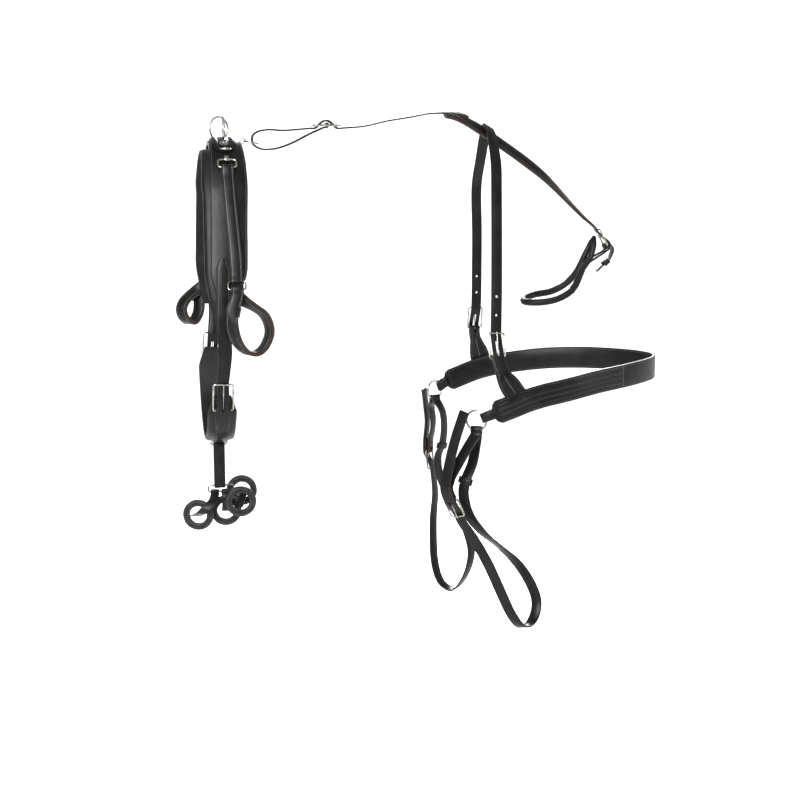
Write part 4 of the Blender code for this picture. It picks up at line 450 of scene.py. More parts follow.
# Leather edges: radius of their rounding, its most as a share of half a strap's thickness, how far its
# middle lies in as a share of it, and the creases ironed along straps
EDGE_ROUND = 0.0009
EDGE_LIMIT_SHARE = 0.8
EDGE_CORNER_SHARE = 0.3
CREASE_IN = 0.0022
CREASE_WIDTH = 0.0006
CREASE_DEPTH = 0.00022
EDGE_COLOUR = (0.014, 0.010, 0.008)
# Surfaces: shine of the leather's finish, then features in a metre and the bumps' strength and depth
SPECULAR = 0.09
COAT_ROUGHNESS = 0.3
LEATHER_COAT = 0.03
LEATHER_TONES = 35
LEATHER_SHEENS = 90
LEATHER_WAVES = 60
PEBBLE_BUMP = (0.22, 0.0003)
FINE_BUMP = (0.15, 0.0002)
WAVE_BUMP = (0.35, 0.0008)
METAL_CLOUDS = 160
METAL_DULLING = 420
METAL_SCRATCHES = 900
METAL_BUMP = (0.08, 0.0001)
RUBBER_TONES = 120
RUBBER_SHEENS = 300
RUBBER_SKIN = 1500
RUBBER_BUMP = (0.2, 0.0002)
RUBBER_COLOUR, RUBBER_ROUGHNESS = (0.012, 0.012, 0.013), 0.5
RUBBER_DARK, RUBBER_LIGHT = (0.009, 0.009, 0.010), (0.020, 0.020, 0.021)
RUBBER_ROUGH = (0.42, 0.6)
THREAD_TWISTS = 2500
THREAD_FIBRES = 5000
THREAD_BUMP = (0.3, 0.0002)
THREAD_ROUGHNESS = 0.6
# How finely straps, wires and the half turns over bars are drawn
HALF_TURN = [pi * step / 6 for step in range(7)]
FINE_STEP = 0.003
WIRE_STEP = 0.0016
# Stitches: length, gap, half width and how far in from the edge they lie
STITCH_LENGTH = 0.0026
STITCH_GAP = 0.0012
STITCH_HALF = 0.00042
STITCH_IN = 0.0032
STITCH_END_SHARE = 0.35
STITCH_FLATNESS = 0.9
STITCH_SIDES = 6
STITCH_TURNS = [2 * pi * side / STITCH_SIDES for side in range(STITCH_SIDES)]
# The pale thread sews the tugs and the breeching's cross rows; down each uptug's middle it paints the
# highlight of its crease
THREAD, PALE_THREAD_AND_HIGHLIGHT = "black_thread", "pale_thread"
WIRE_SIDES = 14
WIRE_TURNS = [2 * pi * (side + 0.5) / WIRE_SIDES for side in range(WIRE_SIDES)]
# Smooth shading breaks at edges sharper than this
SHARP_ANGLE = radians(50)

# The terrets' wings, the holes of the hip strap and the pale stitches that paint a highlight down the uptugs
WING_DOWN = 0.009
WING_LENGTH = 0.0105
WING_RADIUS = 0.0032
WING_SHARES = (
    (-1, 0.15), (-0.8, 0.75), (-0.45, 0.5), (-0.25, 0.95), (0.25, 0.95), (0.45, 0.5), (0.8, 0.75), (1, 0.15),
)
# Shares of each uptug's length along which pale stitches paint the highlight of its middle crease
CREASE_HIGHLIGHT_SHARES = (0.5, 0.96)
HOLE_RADIUS = 0.0019
HOLE_REACH = 0.005
HOLE_SIDES = 16
HIP_HOLES = 2
HIP_HOLE_START = 0.070
HIP_HOLE_PITCH = 0.031
# Ridges and rows of the breeching: a ridge's half width and height, then places as shares of the
# breeching's height and, last, of its length
RIDGE_HALF = 0.0034
RIDGE_HIGH = 0.0018
RIDGE_SHARES = (-0.23, 0, 0.23)
ROW_SHARES = (-0.115, 0.115)
EDGE_ROW_SHARE = 0.42
OVERLAY_SHARES = ((0.055, 0.33), (0.67, 0.945))
# Straps sewn along both edges, and the shares of their length where their rows start and end
SEWN = (
    ("girth_strap", 0.06, 0.94), ("backstrap", 0.01, 0.72),
    ("near_uptug", 0.30, 0.98), ("far_uptug", 0.30, 0.98),
    ("near_billet", 0.02, 0.40), ("far_billet", 0.02, 0.40),
)
PALE_SEWN = (
    ("near_tug_loop", 0.06, 0.94), ("far_tug_loop", 0.06, 0.94),
    ("near_tug_strap", 0.02, 0.96), ("far_tug_strap", 0.02, 0.96),
)


def graph_of(name, colour, roughness, metallic=0.0, coat=0.0):
    """A Principled material, its node tree and its shader."""
    made = bpy.data.materials.new(name)
    made.use_nodes = True
    shader = made.node_tree.nodes["Principled BSDF"]
    shader.inputs["Base Color"].default_value = (*colour, 1)
    shader.inputs["Roughness"].default_value = roughness
    shader.inputs["Metallic"].default_value = metallic
    shader.inputs["Coat Weight"].default_value = coat
    shader.inputs["Coat Roughness"].default_value = COAT_ROUGHNESS
    shader.inputs["Specular IOR Level"].default_value = SPECULAR
    return made, made.node_tree, shader


def noise_node(tree, place, scale, detail=3.0, rough=0.5):
    """A noise texture in metres, so that its scale counts features in a metre."""
    made = tree.nodes.new("ShaderNodeTexNoise")
    made.inputs["Scale"].default_value = scale
    made.inputs["Detail"].default_value = detail
    made.inputs["Roughness"].default_value = rough
    tree.links.new(place, made.inputs["Vector"])
    return made.outputs["Fac"]


def spread(tree, value, low, high, from_low=0.3, from_high=0.7):
    """Stretch a value to a range."""
    made = tree.nodes.new("ShaderNodeMapRange")
    for name, number in (("From Min", from_low), ("From Max", from_high), ("To Min", low), ("To Max", high)):
        made.inputs[name].default_value = number
    tree.links.new(value, made.inputs["Value"])
    return made.outputs["Result"]


def blend_colours(tree, share, first, second):
    """A mix of two colours by a share, where either may be a colour or a socket."""
    made = tree.nodes.new("ShaderNodeMix")
    made.data_type = "RGBA"
    tree.links.new(share, made.inputs["Factor"])
    for socket, colour in ((made.inputs["A"], first), (made.inputs["B"], second)):
        if isinstance(colour, tuple):
            socket.default_value = (*colour, 1)
        else:
            tree.links.new(colour, socket)
    return made.outputs["Result"]


def clouded(tree, place, scale, dark, light, detail=4):
    """Two tones of a colour, in clouds."""
    return blend_colours(tree, spread(tree, noise_node(tree, place, scale, detail), 0, 1), dark, light)


def raised(tree, shader, heights):
    """Chain bumps onto a shader, each from a height, a strength and a depth in metres."""
    normal = None
    for height, strength, depth in heights:
        made = tree.nodes.new("ShaderNodeBump")
        made.inputs["Strength"].default_value = strength
        made.inputs["Distance"].default_value = depth
        tree.links.new(height, made.inputs["Height"])
        if normal:
            tree.links.new(normal, made.inputs["Normal"])
        normal = made.outputs["Normal"]
    tree.links.new(normal, shader.inputs["Normal"])


def leather_material(name, dark, light, rough_low, rough_high, grain):
    """Black leather: pebbled grain, slow waves, changes of tone and sheen, and browner cut edges."""
    made, tree, shader = graph_of(name, dark, rough_low, coat=LEATHER_COAT)
    place = tree.nodes.new("ShaderNodeTexCoord").outputs["Object"]
    tone = clouded(tree, place, LEATHER_TONES, dark, light)
    rim = tree.nodes.new("ShaderNodeAttribute")
    rim.attribute_name = "rim"
    tree.links.new(blend_colours(tree, rim.outputs["Fac"], tone, EDGE_COLOUR), shader.inputs["Base Color"])
    sheen = spread(tree, noise_node(tree, place, LEATHER_SHEENS, 3), rough_low, rough_high)
    tree.links.new(sheen, shader.inputs["Roughness"])
    cells = tree.nodes.new("ShaderNodeTexVoronoi")
    cells.inputs["Scale"].default_value = grain
    tree.links.new(place, cells.inputs["Vector"])
    pebbles = (cells.outputs["Distance"], *PEBBLE_BUMP)
    fine = (noise_node(tree, place, grain * 3, 2), *FINE_BUMP)
    waves = (noise_node(tree, place, LEATHER_WAVES, 3), *WAVE_BUMP)
    raised(tree, shader, (waves, pebbles, fine))
    return made


def metal_material(name, dark, light, rough_low, rough_high):
    """Bright metal with faint dulling and fine scratches."""
    made, tree, shader = graph_of(name, light, rough_low, metallic=1.0)
    place = tree.nodes.new("ShaderNodeTexCoord").outputs["Object"]
    cloud = noise_node(tree, place, METAL_CLOUDS, 5, 0.6)
    tree.links.new(blend_colours(tree, spread(tree, cloud, 0, 1), dark, light), shader.inputs["Base Color"])
    dulling = spread(tree, noise_node(tree, place, METAL_DULLING, 4), rough_low, rough_high)
    tree.links.new(dulling, shader.inputs["Roughness"])
    raised(tree, shader, ((noise_node(tree, place, METAL_SCRATCHES, 4), *METAL_BUMP),))
    return made


def rubber_material(name):
    """Matt black rubber with a moulded skin."""
    made, tree, shader = graph_of(name, RUBBER_COLOUR, RUBBER_ROUGHNESS)
    place = tree.nodes.new("ShaderNodeTexCoord").outputs["Object"]
    tone = clouded(tree, place, RUBBER_TONES, RUBBER_DARK, RUBBER_LIGHT)
    tree.links.new(tone, shader.inputs["Base Color"])
    sheen = spread(tree, noise_node(tree, place, RUBBER_SHEENS, 3), *RUBBER_ROUGH)
    tree.links.new(sheen, shader.inputs["Roughness"])
    raised(tree, shader, ((noise_node(tree, place, RUBBER_SKIN, 3), *RUBBER_BUMP),))
    return made


def thread_material(name, dark, light):
    """Waxed thread, twisted."""
    made, tree, shader = graph_of(name, light, THREAD_ROUGHNESS)
    place = tree.nodes.new("ShaderNodeTexCoord").outputs["Object"]
    tone = clouded(tree, place, THREAD_TWISTS, dark, light, 2)
    tree.links.new(tone, shader.inputs["Base Color"])
    raised(tree, shader, ((noise_node(tree, place, THREAD_FIBRES, 1), *THREAD_BUMP),))
    return made


MATERIALS = {
    LEATHER: leather_material(
        "black_leather", (0.0014, 0.0014, 0.0016), (0.0048, 0.0044, 0.0044), 0.28, 0.42, 700,
    ),
    PADDING: leather_material(
        "stuffed_leather", (0.0018, 0.0018, 0.0020), (0.0056, 0.0052, 0.0052), 0.38, 0.52, 520,
    ),
    NICKEL: metal_material("nickel", (0.09, 0.088, 0.082), (0.33, 0.32, 0.30), 0.12, 0.26),
    STEEL: metal_material("tree_steel", (0.20, 0.20, 0.21), (0.36, 0.36, 0.37), 0.35, 0.5),
    RUBBER: rubber_material("black_rubber"),
    THREAD: thread_material("black_thread", (0.03, 0.03, 0.03), (0.09, 0.088, 0.084)),
    # Pale thread, also drawn down the uptugs as a painted highlight along their creases
    PALE_THREAD_AND_HIGHLIGHT: thread_material("pale_thread", (0.06, 0.055, 0.05), (0.22, 0.21, 0.19)),
}
# Each dressed strap's line: middle, directions across and outward, width and thickness
LINES = {}


def refined(values, closed):
    """Positions, in steps along a strap, at which a finer line has its points."""
    count = len(values)
    last = count if closed else count - 1
    places = []
    for i in range(last):
        span = (values[(i + 1) % count] - values[i]).length
        parts = max(1, round(span / FINE_STEP))
        places += [i + part / parts for part in range(parts)]
    if not closed:
        places.append(count - 1)
    return places


def curved(values, place, closed):
    """A smooth curve through points, at a position counted in steps."""
    count = len(values)
    i = min(int(place), count - 1 if closed else count - 2)
    t = place - i
    if closed:
        ring = [values[(i + step) % count] for step in (-1, 0, 1, 2)]
    else:
        ring = [values[min(max(i + step, 0), count - 1)] for step in (-1, 0, 1, 2)]
    before, start, end, after = ring
    span = (end - start).length
    leave_span = (start - before).length + span
    arrive_span = (after - end).length + span
    leave = (end - before) * (span / leave_span) if leave_span else end - start
    arrive = (after - start) * (span / arrive_span) if arrive_span else end - start
    rise = t * t * (3 - 2 * t)
    return start.lerp(end, rise) + leave * (t * (1 - t) * (1 - t)) + arrive * (t * t * (t - 1))


def mixed(values, place, closed):
    """The value at a position counted in steps, between its neighbours."""
    count = len(values)
    i = min(int(place), count - 1 if closed else count - 2)
    share = place - i
    low, high = values[i], values[(i + 1) % count]
    if isinstance(low, tuple):
        return tuple(a + (b - a) * share for a, b in zip(low, high))
    return low * (1 - share) + high * share


def flat_section(width, thick):
    """A strap's cross section: rounded edges, and a crease along each side of both faces."""
    half, high = width / 2, thick / 2
    edge = min(EDGE_ROUND, high * EDGE_LIMIT_SHARE)
    inset = edge * EDGE_CORNER_SHARE
    corner = [(half, high - edge), (half - inset, high - inset), (half - edge, high)]
    if width > 4 * CREASE_IN:
        crease = half - CREASE_IN
        corner += [(crease + CREASE_WIDTH, high), (crease, high - CREASE_DEPTH)]
        corner.append((crease - CREASE_WIDTH, high))
    back = corner[::-1]
    low_left, low_right = [(-x, -y) for x, y in corner], [(x, -y) for x, y in back]
    return low_left + low_right + corner + [(-x, y) for x, y in back]


def mark_rims(made, rings):
    """Mark a strap's cut edges, so that its leather shows them browner."""
    rim = made.data.attributes.new("rim", "FLOAT", "POINT")
    values = []
    for ring in rings:
        half = len(ring) // 4
        for i in range(len(ring)):
            within = min(i % (2 * half), 2 * half - 1 - i % (2 * half))
            values.append(1.0 if within == 0 else 0.4 if within == 1 else 0.0)
    rim.data.foreach_set("value", values)


def skin(shape, rings, closed=False):
    """Faces through rings of points. The ends are capped unless the last ring meets the first."""
    rows = [[shape.verts.new(point) for point in ring] for ring in rings]
    pairs = list(zip(rows, rows[1:]))
    if closed:
        pairs.append((rows[-1], rows[0]))
    for row, following in pairs:
        for i in range(len(row)):
            j = (i + 1) % len(row)
            shape.faces.new((row[i], row[j], following[j], following[i]))
    if not closed:
        shape.faces.new(rows[0])
        shape.faces.new(rows[-1])


def add_object(name, shape, material):
    """A smooth object of one material, made from a shape that this frees."""
    mesh = bpy.data.meshes.new(name)
    shape.to_mesh(mesh)
    shape.free()
    mesh.shade_smooth()
    mesh.materials.append(material)
    made = bpy.data.objects.new(name, mesh)
    bpy.context.scene.collection.objects.link(made)
    return made


def solid(name, look, rings, closed=False):
    """A closed body through rings of points. Where a CAD node has its name, it stands for that node."""
    shape = bmesh.new()
    skin(shape, rings, closed)
    bmesh.ops.recalc_face_normals(shape, faces=shape.faces)
    made = add_object(f"{name}_dressed", shape, MATERIALS[look])
    made.data.set_sharp_from_angle(angle=SHARP_ANGLE)
    if name in body_of_node:
        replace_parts(made, name)
        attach(made, body_of_node[name])
    return made


def boolean(target, helper, operation):
    """Join or cut a shape at once, so that no helper is left."""
    step = target.modifiers.new("cut", "BOOLEAN")
    step.operation = operation
    step.object = helper
    step.solver = "EXACT"
    bpy.context.view_layer.update()
    graph = bpy.context.evaluated_depsgraph_get()
    mesh = bpy.data.meshes.new_from_object(target.evaluated_get(graph))
    target.modifiers.remove(step)
    target.data = mesh
    mesh.shade_smooth()
    mesh.set_sharp_from_angle(angle=SHARP_ANGLE)
    bpy.data.objects.remove(helper)


def flow(places, steps):
    """Points on a smooth curve through places, with the share of the way between two places at each."""
    spans = [(after - before).length for before, after in zip(places, places[1:])]
    slopes = []
    for i in range(len(places)):
        before, after = max(i - 1, 0), min(i + 1, len(places) - 1)
        slopes.append((places[after] - places[before]) / sum(spans[before:after]))
    points = []
    for i, span in enumerate(spans):
        for step in range(steps):
            t = step / steps
            rise = t * t * (3 - 2 * t)
            leave = t * (1 - t) * (1 - t) * span
            arrive = t * t * (t - 1) * span
            point = places[i].lerp(places[i + 1], rise) + slopes[i] * leave + slopes[i + 1] * arrive
            points.append((point, i + t))
    points.append((places[-1], len(places) - 1))
    return points


def between(values, place):
    """The value at a place counted in steps along a list, between its neighbours."""
    i = min(max(int(place), 0), len(values) - 2)
    share = place - i
    return values[i] * (1 - share) + values[i + 1] * share


def along_table(table, place):
    """A row of a table whose first column rises, worked out between the rows around a place."""
    i = 0
    while i < len(table) - 2 and table[i + 1][0] < place:
        i += 1
    low, high = table[i], table[i + 1]
    share = min(max((place - low[0]) / (high[0] - low[0]), 0), 1)
    return [a + (b - a) * share for a, b in zip(low[1:], high[1:])]


def frame(tangent, across):
    """Unit directions along, across and out of a strap, from its rough width direction."""
    along = tangent.normalized()
    wide = (across - along * across.dot(along)).normalized()
    return along, wide, wide.cross(along)


def smooth(places, wides, steps=3):
    """Points on a smooth curve through places, and the width direction at each of them."""
    line = flow(places, steps)
    return [point for point, _ in line], [between(wides, place) for _, place in line]


class Route:
    """A smooth line through places. Distances run from its start, or from its middle."""

    def __init__(self, places, acrosses, turn=1, steps=4, from_middle=False):
        self.points, self.acrosses = smooth(places, acrosses, steps)
        self.turn = turn
        self.reach = [0.0]
        for before, after in zip(self.points, self.points[1:]):
            self.reach.append(self.reach[-1] + (after - before).length)
        self.marks = self.reach[::steps]
        self.offset = self.reach[-1] / 2 if from_middle else 0.0

    def at(self, distance):
        """The point at a distance, and the directions along, across and outward there."""
        want = distance + self.offset
        i = 0
        while i < len(self.points) - 2 and self.reach[i + 1] < want:
            i += 1
        share = (want - self.reach[i]) / (self.reach[i + 1] - self.reach[i])
        point = self.points[i] + (self.points[i + 1] - self.points[i]) * share
        near, last = min(max(share, 0), 1), len(self.points) - 1
        slopes = []
        for j in (i, i + 1):
            slopes.append((self.points[min(j + 1, last)] - self.points[max(j - 1, 0)]).normalized())
        tangent = slopes[0].lerp(slopes[1], near)
        along, across, out = frame(tangent, self.acrosses[i].lerp(self.acrosses[i + 1], near))
        return point, along, across, out * self.turn

    def place(self, distance, shift=0.0, height=0.0):
        """The point at a distance, moved across the strap and out of it."""
        point, _, across, out = self.at(distance)
        return point + across * shift + out * height


def ribbon(name, look, centres, acrosses, edges, thick, section=FLAT_SHARES, closed=False):
    """A dressed strap through centres, with front and rear edges and a thickness at each of them."""
    rings, line = [], []
    places = refined(centres, closed)
    points = [curved(centres, place, closed) for place in places]
    count = len(points)
    for i, place in enumerate(places):
        before = points[i - 1] if closed or i else points[i]
        after = points[(i + 1) % count] if closed or i < count - 1 else points[i]
        _, across, out = frame(after - before, mixed(acrosses, place, closed))
        front, rear = mixed(edges, place, closed)
        high = mixed(thick, place, closed)
        middle = points[i] + across * ((rear + front) / 2)
        if section is FLAT_SHARES:
            shape = flat_section(rear - front, high)
        else:
            shape = [(wide * (rear - front), tall * high) for wide, tall in section]
        rings.append([middle + across * wide + out * tall for wide, tall in shape])
        line.append((middle, across, out, rear - front, high))
    LINES[name] = line
    made = solid(name, look, rings, closed)
    if section is FLAT_SHARES:
        mark_rims(made, rings)
    return made


def strap(name, look, centres, acrosses, width, thick, closed=False):
    """A strap of one width and thickness."""
    count = len(centres)
    edges = [(-width / 2, width / 2)] * count
    return ribbon(name, look, centres, acrosses, edges, [thick] * count, closed=closed)


def on_route(route, run):
    """Centres and width directions on a route, from distances and heights."""
    centres = [route.place(distance, 0, height) for distance, height in run]
    return centres, [route.at(distance)[2] for distance, _ in run]


def wire(name, look, path, face, radius, closed=True):
    """A round bar along a flat path, whose plane faces one way."""
    count = len(path)
    last = count if closed else count - 1
    points = []
    for i in range(last):
        span = (path[(i + 1) % count] - path[i]).length
        parts = max(1, round(span / WIRE_STEP))
        points += [curved(path, i + part / parts, closed) for part in range(parts)]
    if not closed:
        points.append(path[-1])
    count = len(points)
    rings = []
    for i, centre in enumerate(points):
        before = points[i - 1] if closed or i else centre
        after = points[(i + 1) % count] if closed or i < count - 1 else centre
        _, up, out = frame(after - before, face)
        rings.append([centre + (up * cos(turn) + out * sin(turn)) * radius for turn in WIRE_TURNS])
    return solid(name, look, rings, closed)


def circle(middle, first, second, radius, count):
    """Points round a circle spanned by two directions."""
    turns = [2 * pi * i / count for i in range(count)]
    return [middle + (first * cos(turn) + second * sin(turn)) * radius for turn in turns]


def oblong(reach, width, corner, steps=3):
    """A rounded rectangle from 0 to reach along and centred across, as pairs of distances."""
    points = []
    corners = ((reach, width / 2, 0), (0, width / 2, 1), (0, -width / 2, 2), (reach, -width / 2, 3))
    for end, side, quarter in corners:
        inward = end - corner if end else corner
        beside = side - corner if side > 0 else side + corner
        for step in range(steps + 1):
            turn = (quarter + step / steps) * pi / 2
            points.append((inward + corner * cos(turn), beside + corner * sin(turn)))
    return points


def fold(bar, height, radius, way, slack=0.0, steps=6):
    """A half turn round a bar, from the layer below it to the layer above. Way is the side it bulges to."""
    points = []
    for step in range(steps + 1):
        turn = pi * step / steps - pi / 2
        points.append((bar + way * (slack + radius * cos(turn)), height + radius * sin(turn)))
    return points


def steps_between(start, end, count):
    """Evenly spaced distances from a start to an end."""
    return [start + (end - start) * i / count for i in range(count + 1)]


def wrap_radius(bar, thick):
    """Radius of the middle of a layer that is wrapped round a bar."""
    return bar + GAP + thick / 2


BAR_WRAP = wrap_radius(BUCKLE_WIRE, STRAP_THICK)
BILLET_OVER = BAR_WRAP + STRAP_THICK + GAP
TONGUE_LIFT = BUCKLE_WIRE + GAP + TONGUE_WIRE


def buckle(name, route, heel, way, length, width, height):
    """A buckle on a route, from its heel bar to its front bar, and the tongue that rests on that."""
    outer = width + 2 * (BUCKLE_SPARE + BUCKLE_WIRE)
    path = []
    for reach, shift in oblong(length, outer, 2 * BUCKLE_WIRE):
        path.append(route.place(heel + way * reach, shift, height))
    face = route.at(heel + way * length / 2)[3]
    wire(f"{name}_buckle", NICKEL, path, face, BUCKLE_WIRE)
    run = [(heel + way * reach, height + lift) for reach, lift in fold(0, 0, TONGUE_LIFT, -1)]
    run.append((heel + way * (length + BUCKLE_WIRE), height + TONGUE_LIFT))
    path = [route.place(distance, 0, lift) for distance, lift in run]
    wire(f"{name}_tongue", NICKEL, path, route.at(heel)[2], TONGUE_WIRE, closed=False)


def slot(target, route, start, end, height, depth):
    """Cut a slot for a tongue through a strap, between two distances on its route."""
    half = TONGUE_WIRE + SLOT_SPARE
    rings = []
    for distance in (start, (start + end) / 2, end):
        rings.append([
            route.place(distance, half * wide, height + depth * high)
            for wide, high in ((-1, -1), (1, -1), (1, 1), (-1, 1))
        ])
    boolean(target, solid(f"{target.name}_slot", STEEL, rings), "DIFFERENCE")


def chape_slot(target, route, heel, way, height):
    """The slot where a tongue wraps the heel bar inside the chape's fold."""
    depth = BAR_WRAP + STRAP_THICK
    slot(target, route, heel - way * BAR_WRAP * 2, heel + way * (depth + OVERRUN), height, depth)


def billet_run(heel, way, length, height, tip):
    """A strap's heights through a buckle: behind its front bar, over its heel bar and on to its tip."""
    front = heel + way * length
    behind, over = height - BAR_WRAP, height + BILLET_OVER
    clear = 2 * BUCKLE_WIRE
    past = [0, CHAPE_PAST_HEEL / 2] + steps_between(CHAPE_PAST_HEEL, tip, 3)
    return [
        (front + way * clear, behind), (front - way * clear, behind), (heel + way * clear, over),
    ] + [(heel - way * reach, over) for reach in past]


def chape_run(heel, way, height):
    """A strap's heights from the end of its chape round a buckle's heel bar."""
    end = [(heel - way * reach, height + BAR_WRAP) for reach in (CHAPE_PAST_HEEL, CHAPE_PAST_HEEL / 2)]
    return end + fold(heel, height, BAR_WRAP, way)[::-1]


def billet_slot(target, route, heel, way, length, height):
    """The long hole in which a tongue passes through a billet and can lift."""
    depth = BILLET_OVER + STRAP_THICK
    slot(target, route, heel + way * BUCKLE_WIRE, heel + way * length * SLOT_SHARE, height, depth)


def keeper(name, look, route, distance, width, low, high):
    """A flat loop round straps between two heights."""
    reach = width / 2 + KEEPER_SPARE + KEEPER_THICK / 2
    low -= KEEPER_SPARE + KEEPER_THICK / 2
    high += KEEPER_SPARE + KEEPER_THICK / 2
    corner = KEEPER_THICK
    _, along, across, out = route.at(distance)
    middle = route.place(distance, 0, (low + high) / 2)
    path = []
    for up, shift in oblong(high - low, 2 * reach, corner, steps=1):
        path.append(middle + across * shift + out * (up - (high - low) / 2))
    strap(name, look, path, [along] * len(path), KEEPER_LENGTH, KEEPER_THICK, closed=True)


def turned(name, look, middle, axis, profile, sides=64):
    """A turned shape from pairs of radius and height. A profile that closes gives a ring."""
    along, first, second = frame(axis, TAILWARD if abs(axis.x) < abs(axis.z) + abs(axis.y) else UPWARD)
    rings = []
    for i in range(sides):
        turn = 2 * pi * i / sides
        outward = first * cos(turn) + second * sin(turn)
        rings.append([middle + outward * radius + along * height for radius, height in profile])
    return solid(name, look, rings, closed=True)


def spindle(name, look, base, axis, profile, sides=32):
    """A closed round post from pairs of height and radius along an axis."""
    along, first, second = frame(axis, FARWARD)
    rings = [circle(base + along * height, first, second, radius, sides) for height, radius in profile]
    return solid(name, look, rings)


# Heights of the saddle's layers above the barrel, at the middle of each
TREE_HEIGHT = PANEL_THICK + GAP + TREE_THICK / 2
SKIRT_HEIGHT = PANEL_THICK + GAP + SKIRT_THICK / 2
SEAT_HEIGHT = TREE_HEIGHT + TREE_THICK / 2 + GAP + SKIRT_THICK + GAP + SEAT_THICK / 2
BILLET_HEIGHT = SKIRT_HEIGHT + SKIRT_THICK / 2 + GAP + STRAP_THICK / 2
GIRTH_STRAP_HEIGHT = GIRTH_THICK + GAP + STRAP_THICK / 2
GIRTH_BAR_HEIGHT = GIRTH_STRAP_HEIGHT + BAR_WRAP
DEE_HEIGHT_ON = TREE_HEIGHT + TREE_THICK / 2 + GAP + SKIRT_THICK + GAP + THIN_THICK + GAP + DEE_WIRE


def barrel_places(side):
    """Places down one side of the barrel, from the spine to the belly."""
    places = []
    for forward, outward, down in BARREL_SHARES:
        depth = BARREL_SINK + down * BARREL_DEPTH
        places.append(Vector((forward * GIRTH_FORWARD, side * outward * BARREL_HALF, -depth)))
    return places


near_places, far_places = barrel_places(NEAR), barrel_places(FAR)
over_back = near_places[::-1] + far_places[1:]
OVER = Route(over_back, [TAILWARD] * len(over_back), from_middle=True)
under_belly = near_places + far_places[-2::-1]
UNDER = Route(under_belly, [TAILWARD] * len(under_belly), turn=-1, from_middle=True)
HALF_ROUND = UNDER.offset


def outline(shares, down, reach, width):
    """Front and rear edges at a distance down, from a table of shares."""
    front, rear = along_table(shares, abs(down) / reach)
    return front * width, rear * width


def skirt_height(down):
    """The middle of the skirt: over the tree at the top, then down onto the panel."""
    fade = min(max((abs(down) - TREE_REACH) / TREE_FADE, 0), 1)
    return SKIRT_HEIGHT + (TREE_THICK + GAP) * (1 - fade)


def stations(start, end, step=LAYER_STEP):
    """Distances from a start to an end. Those between are the same for every layer on a route."""
    first, last = ceil(start / step + END_SHARE), floor(end / step - END_SHARE)
    return [start] + [i * step for i in range(first, last + 1)] + [end]


def upright(route, distances, height_at, edges_at):
    """Centres, width directions and edges of a layer, swept so that its shares of height point outward."""
    centres = [route.place(distance, 0, height_at(distance)) for distance in distances]
    return centres, [TAILWARD] * len(centres), [edges_at(distance) for distance in distances]


def make_panels():
    """The two stuffed panels under the skirt, thin at their ends."""
    for name, side in SIDES.items():
        centres, acrosses, edges, thick = [], [], [], []
        for down in stations(PANEL_TOP, SADDLE_REACH):
            end = min(down - PANEL_TOP, SADDLE_REACH - down) / (2 * PANEL_THICK)
            height = PANEL_THICK * (PANEL_END_SHARE + (1 - PANEL_END_SHARE) * min(end, 1))
            centres.append(OVER.place(side * down, 0, height / 2))
            edges.append(outline(PANEL_SHARES, down, SADDLE_REACH, PANEL_WIDTH))
            thick.append(height)
        if side < 0:
            centres, edges, thick = centres[::-1], edges[::-1], thick[::-1]
        acrosses = [TAILWARD] * len(centres)
        ribbon(f"{name}_panel", PADDING, centres, acrosses, edges, thick, PAD_SHARES)


def make_tree():
    """The arched plate under the skirt, with the staple that holds the ring at its rear."""
    half = TREE_WIDTH / 2
    centres, acrosses, edges = upright(
        OVER, stations(-TREE_REACH, TREE_REACH), lambda _: TREE_HEIGHT,
        lambda _: (TREE_SHIFT - half, TREE_SHIFT + half),
    )
    tree = ribbon("saddle_tree", STEEL, centres, acrosses, edges, [TREE_THICK] * len(centres))
    level = OVER.place(0, 0, TREE_HEIGHT)
    start, end = TREE_SHIFT + half - 2 * TREE_THICK, EYE_OUT - EYE_RADIUS / 4
    stem = [level + TAILWARD * start, level + TAILWARD * end]
    bar = strap("tree_stem", STEEL, stem, [FARWARD] * len(stem), EYE_STEM_WIDTH, TREE_THICK - GAP)
    boolean(tree, bar, "UNION")
    ring = circle(level + TAILWARD * EYE_OUT + UPWARD * EYE_UP, TAILWARD, UPWARD, EYE_RADIUS, EYE_POINTS)
    boolean(tree, wire("tree_eye", STEEL, ring, FARWARD, EYE_WIRE), "UNION")


def make_skirt_and_seat():
    """The skirt over both panels, and the ridged seat on top of it."""
    centres, acrosses, edges = upright(
        OVER, stations(-SADDLE_REACH, SADDLE_REACH), skirt_height,
        lambda down: outline(SKIRT_SHARES, down, SADDLE_REACH, SKIRT_WIDTH),
    )
    ribbon("saddle_skirt", LEATHER, centres, acrosses, edges, [SKIRT_THICK] * len(centres))

    def seat_edges(down):
        front, rear = outline(SEAT_SHARES, down, SEAT_REACH, SEAT_WIDTH)
        return front + SEAT_SHIFT, rear + SEAT_SHIFT

    centres, acrosses, edges = upright(
        OVER, stations(-SEAT_REACH, SEAT_REACH), lambda _: SEAT_HEIGHT, seat_edges,
    )
    ribbon("saddle_seat", LEATHER, centres, acrosses, edges, [SEAT_THICK] * len(centres), SEAT_RIDGE_SHARES)


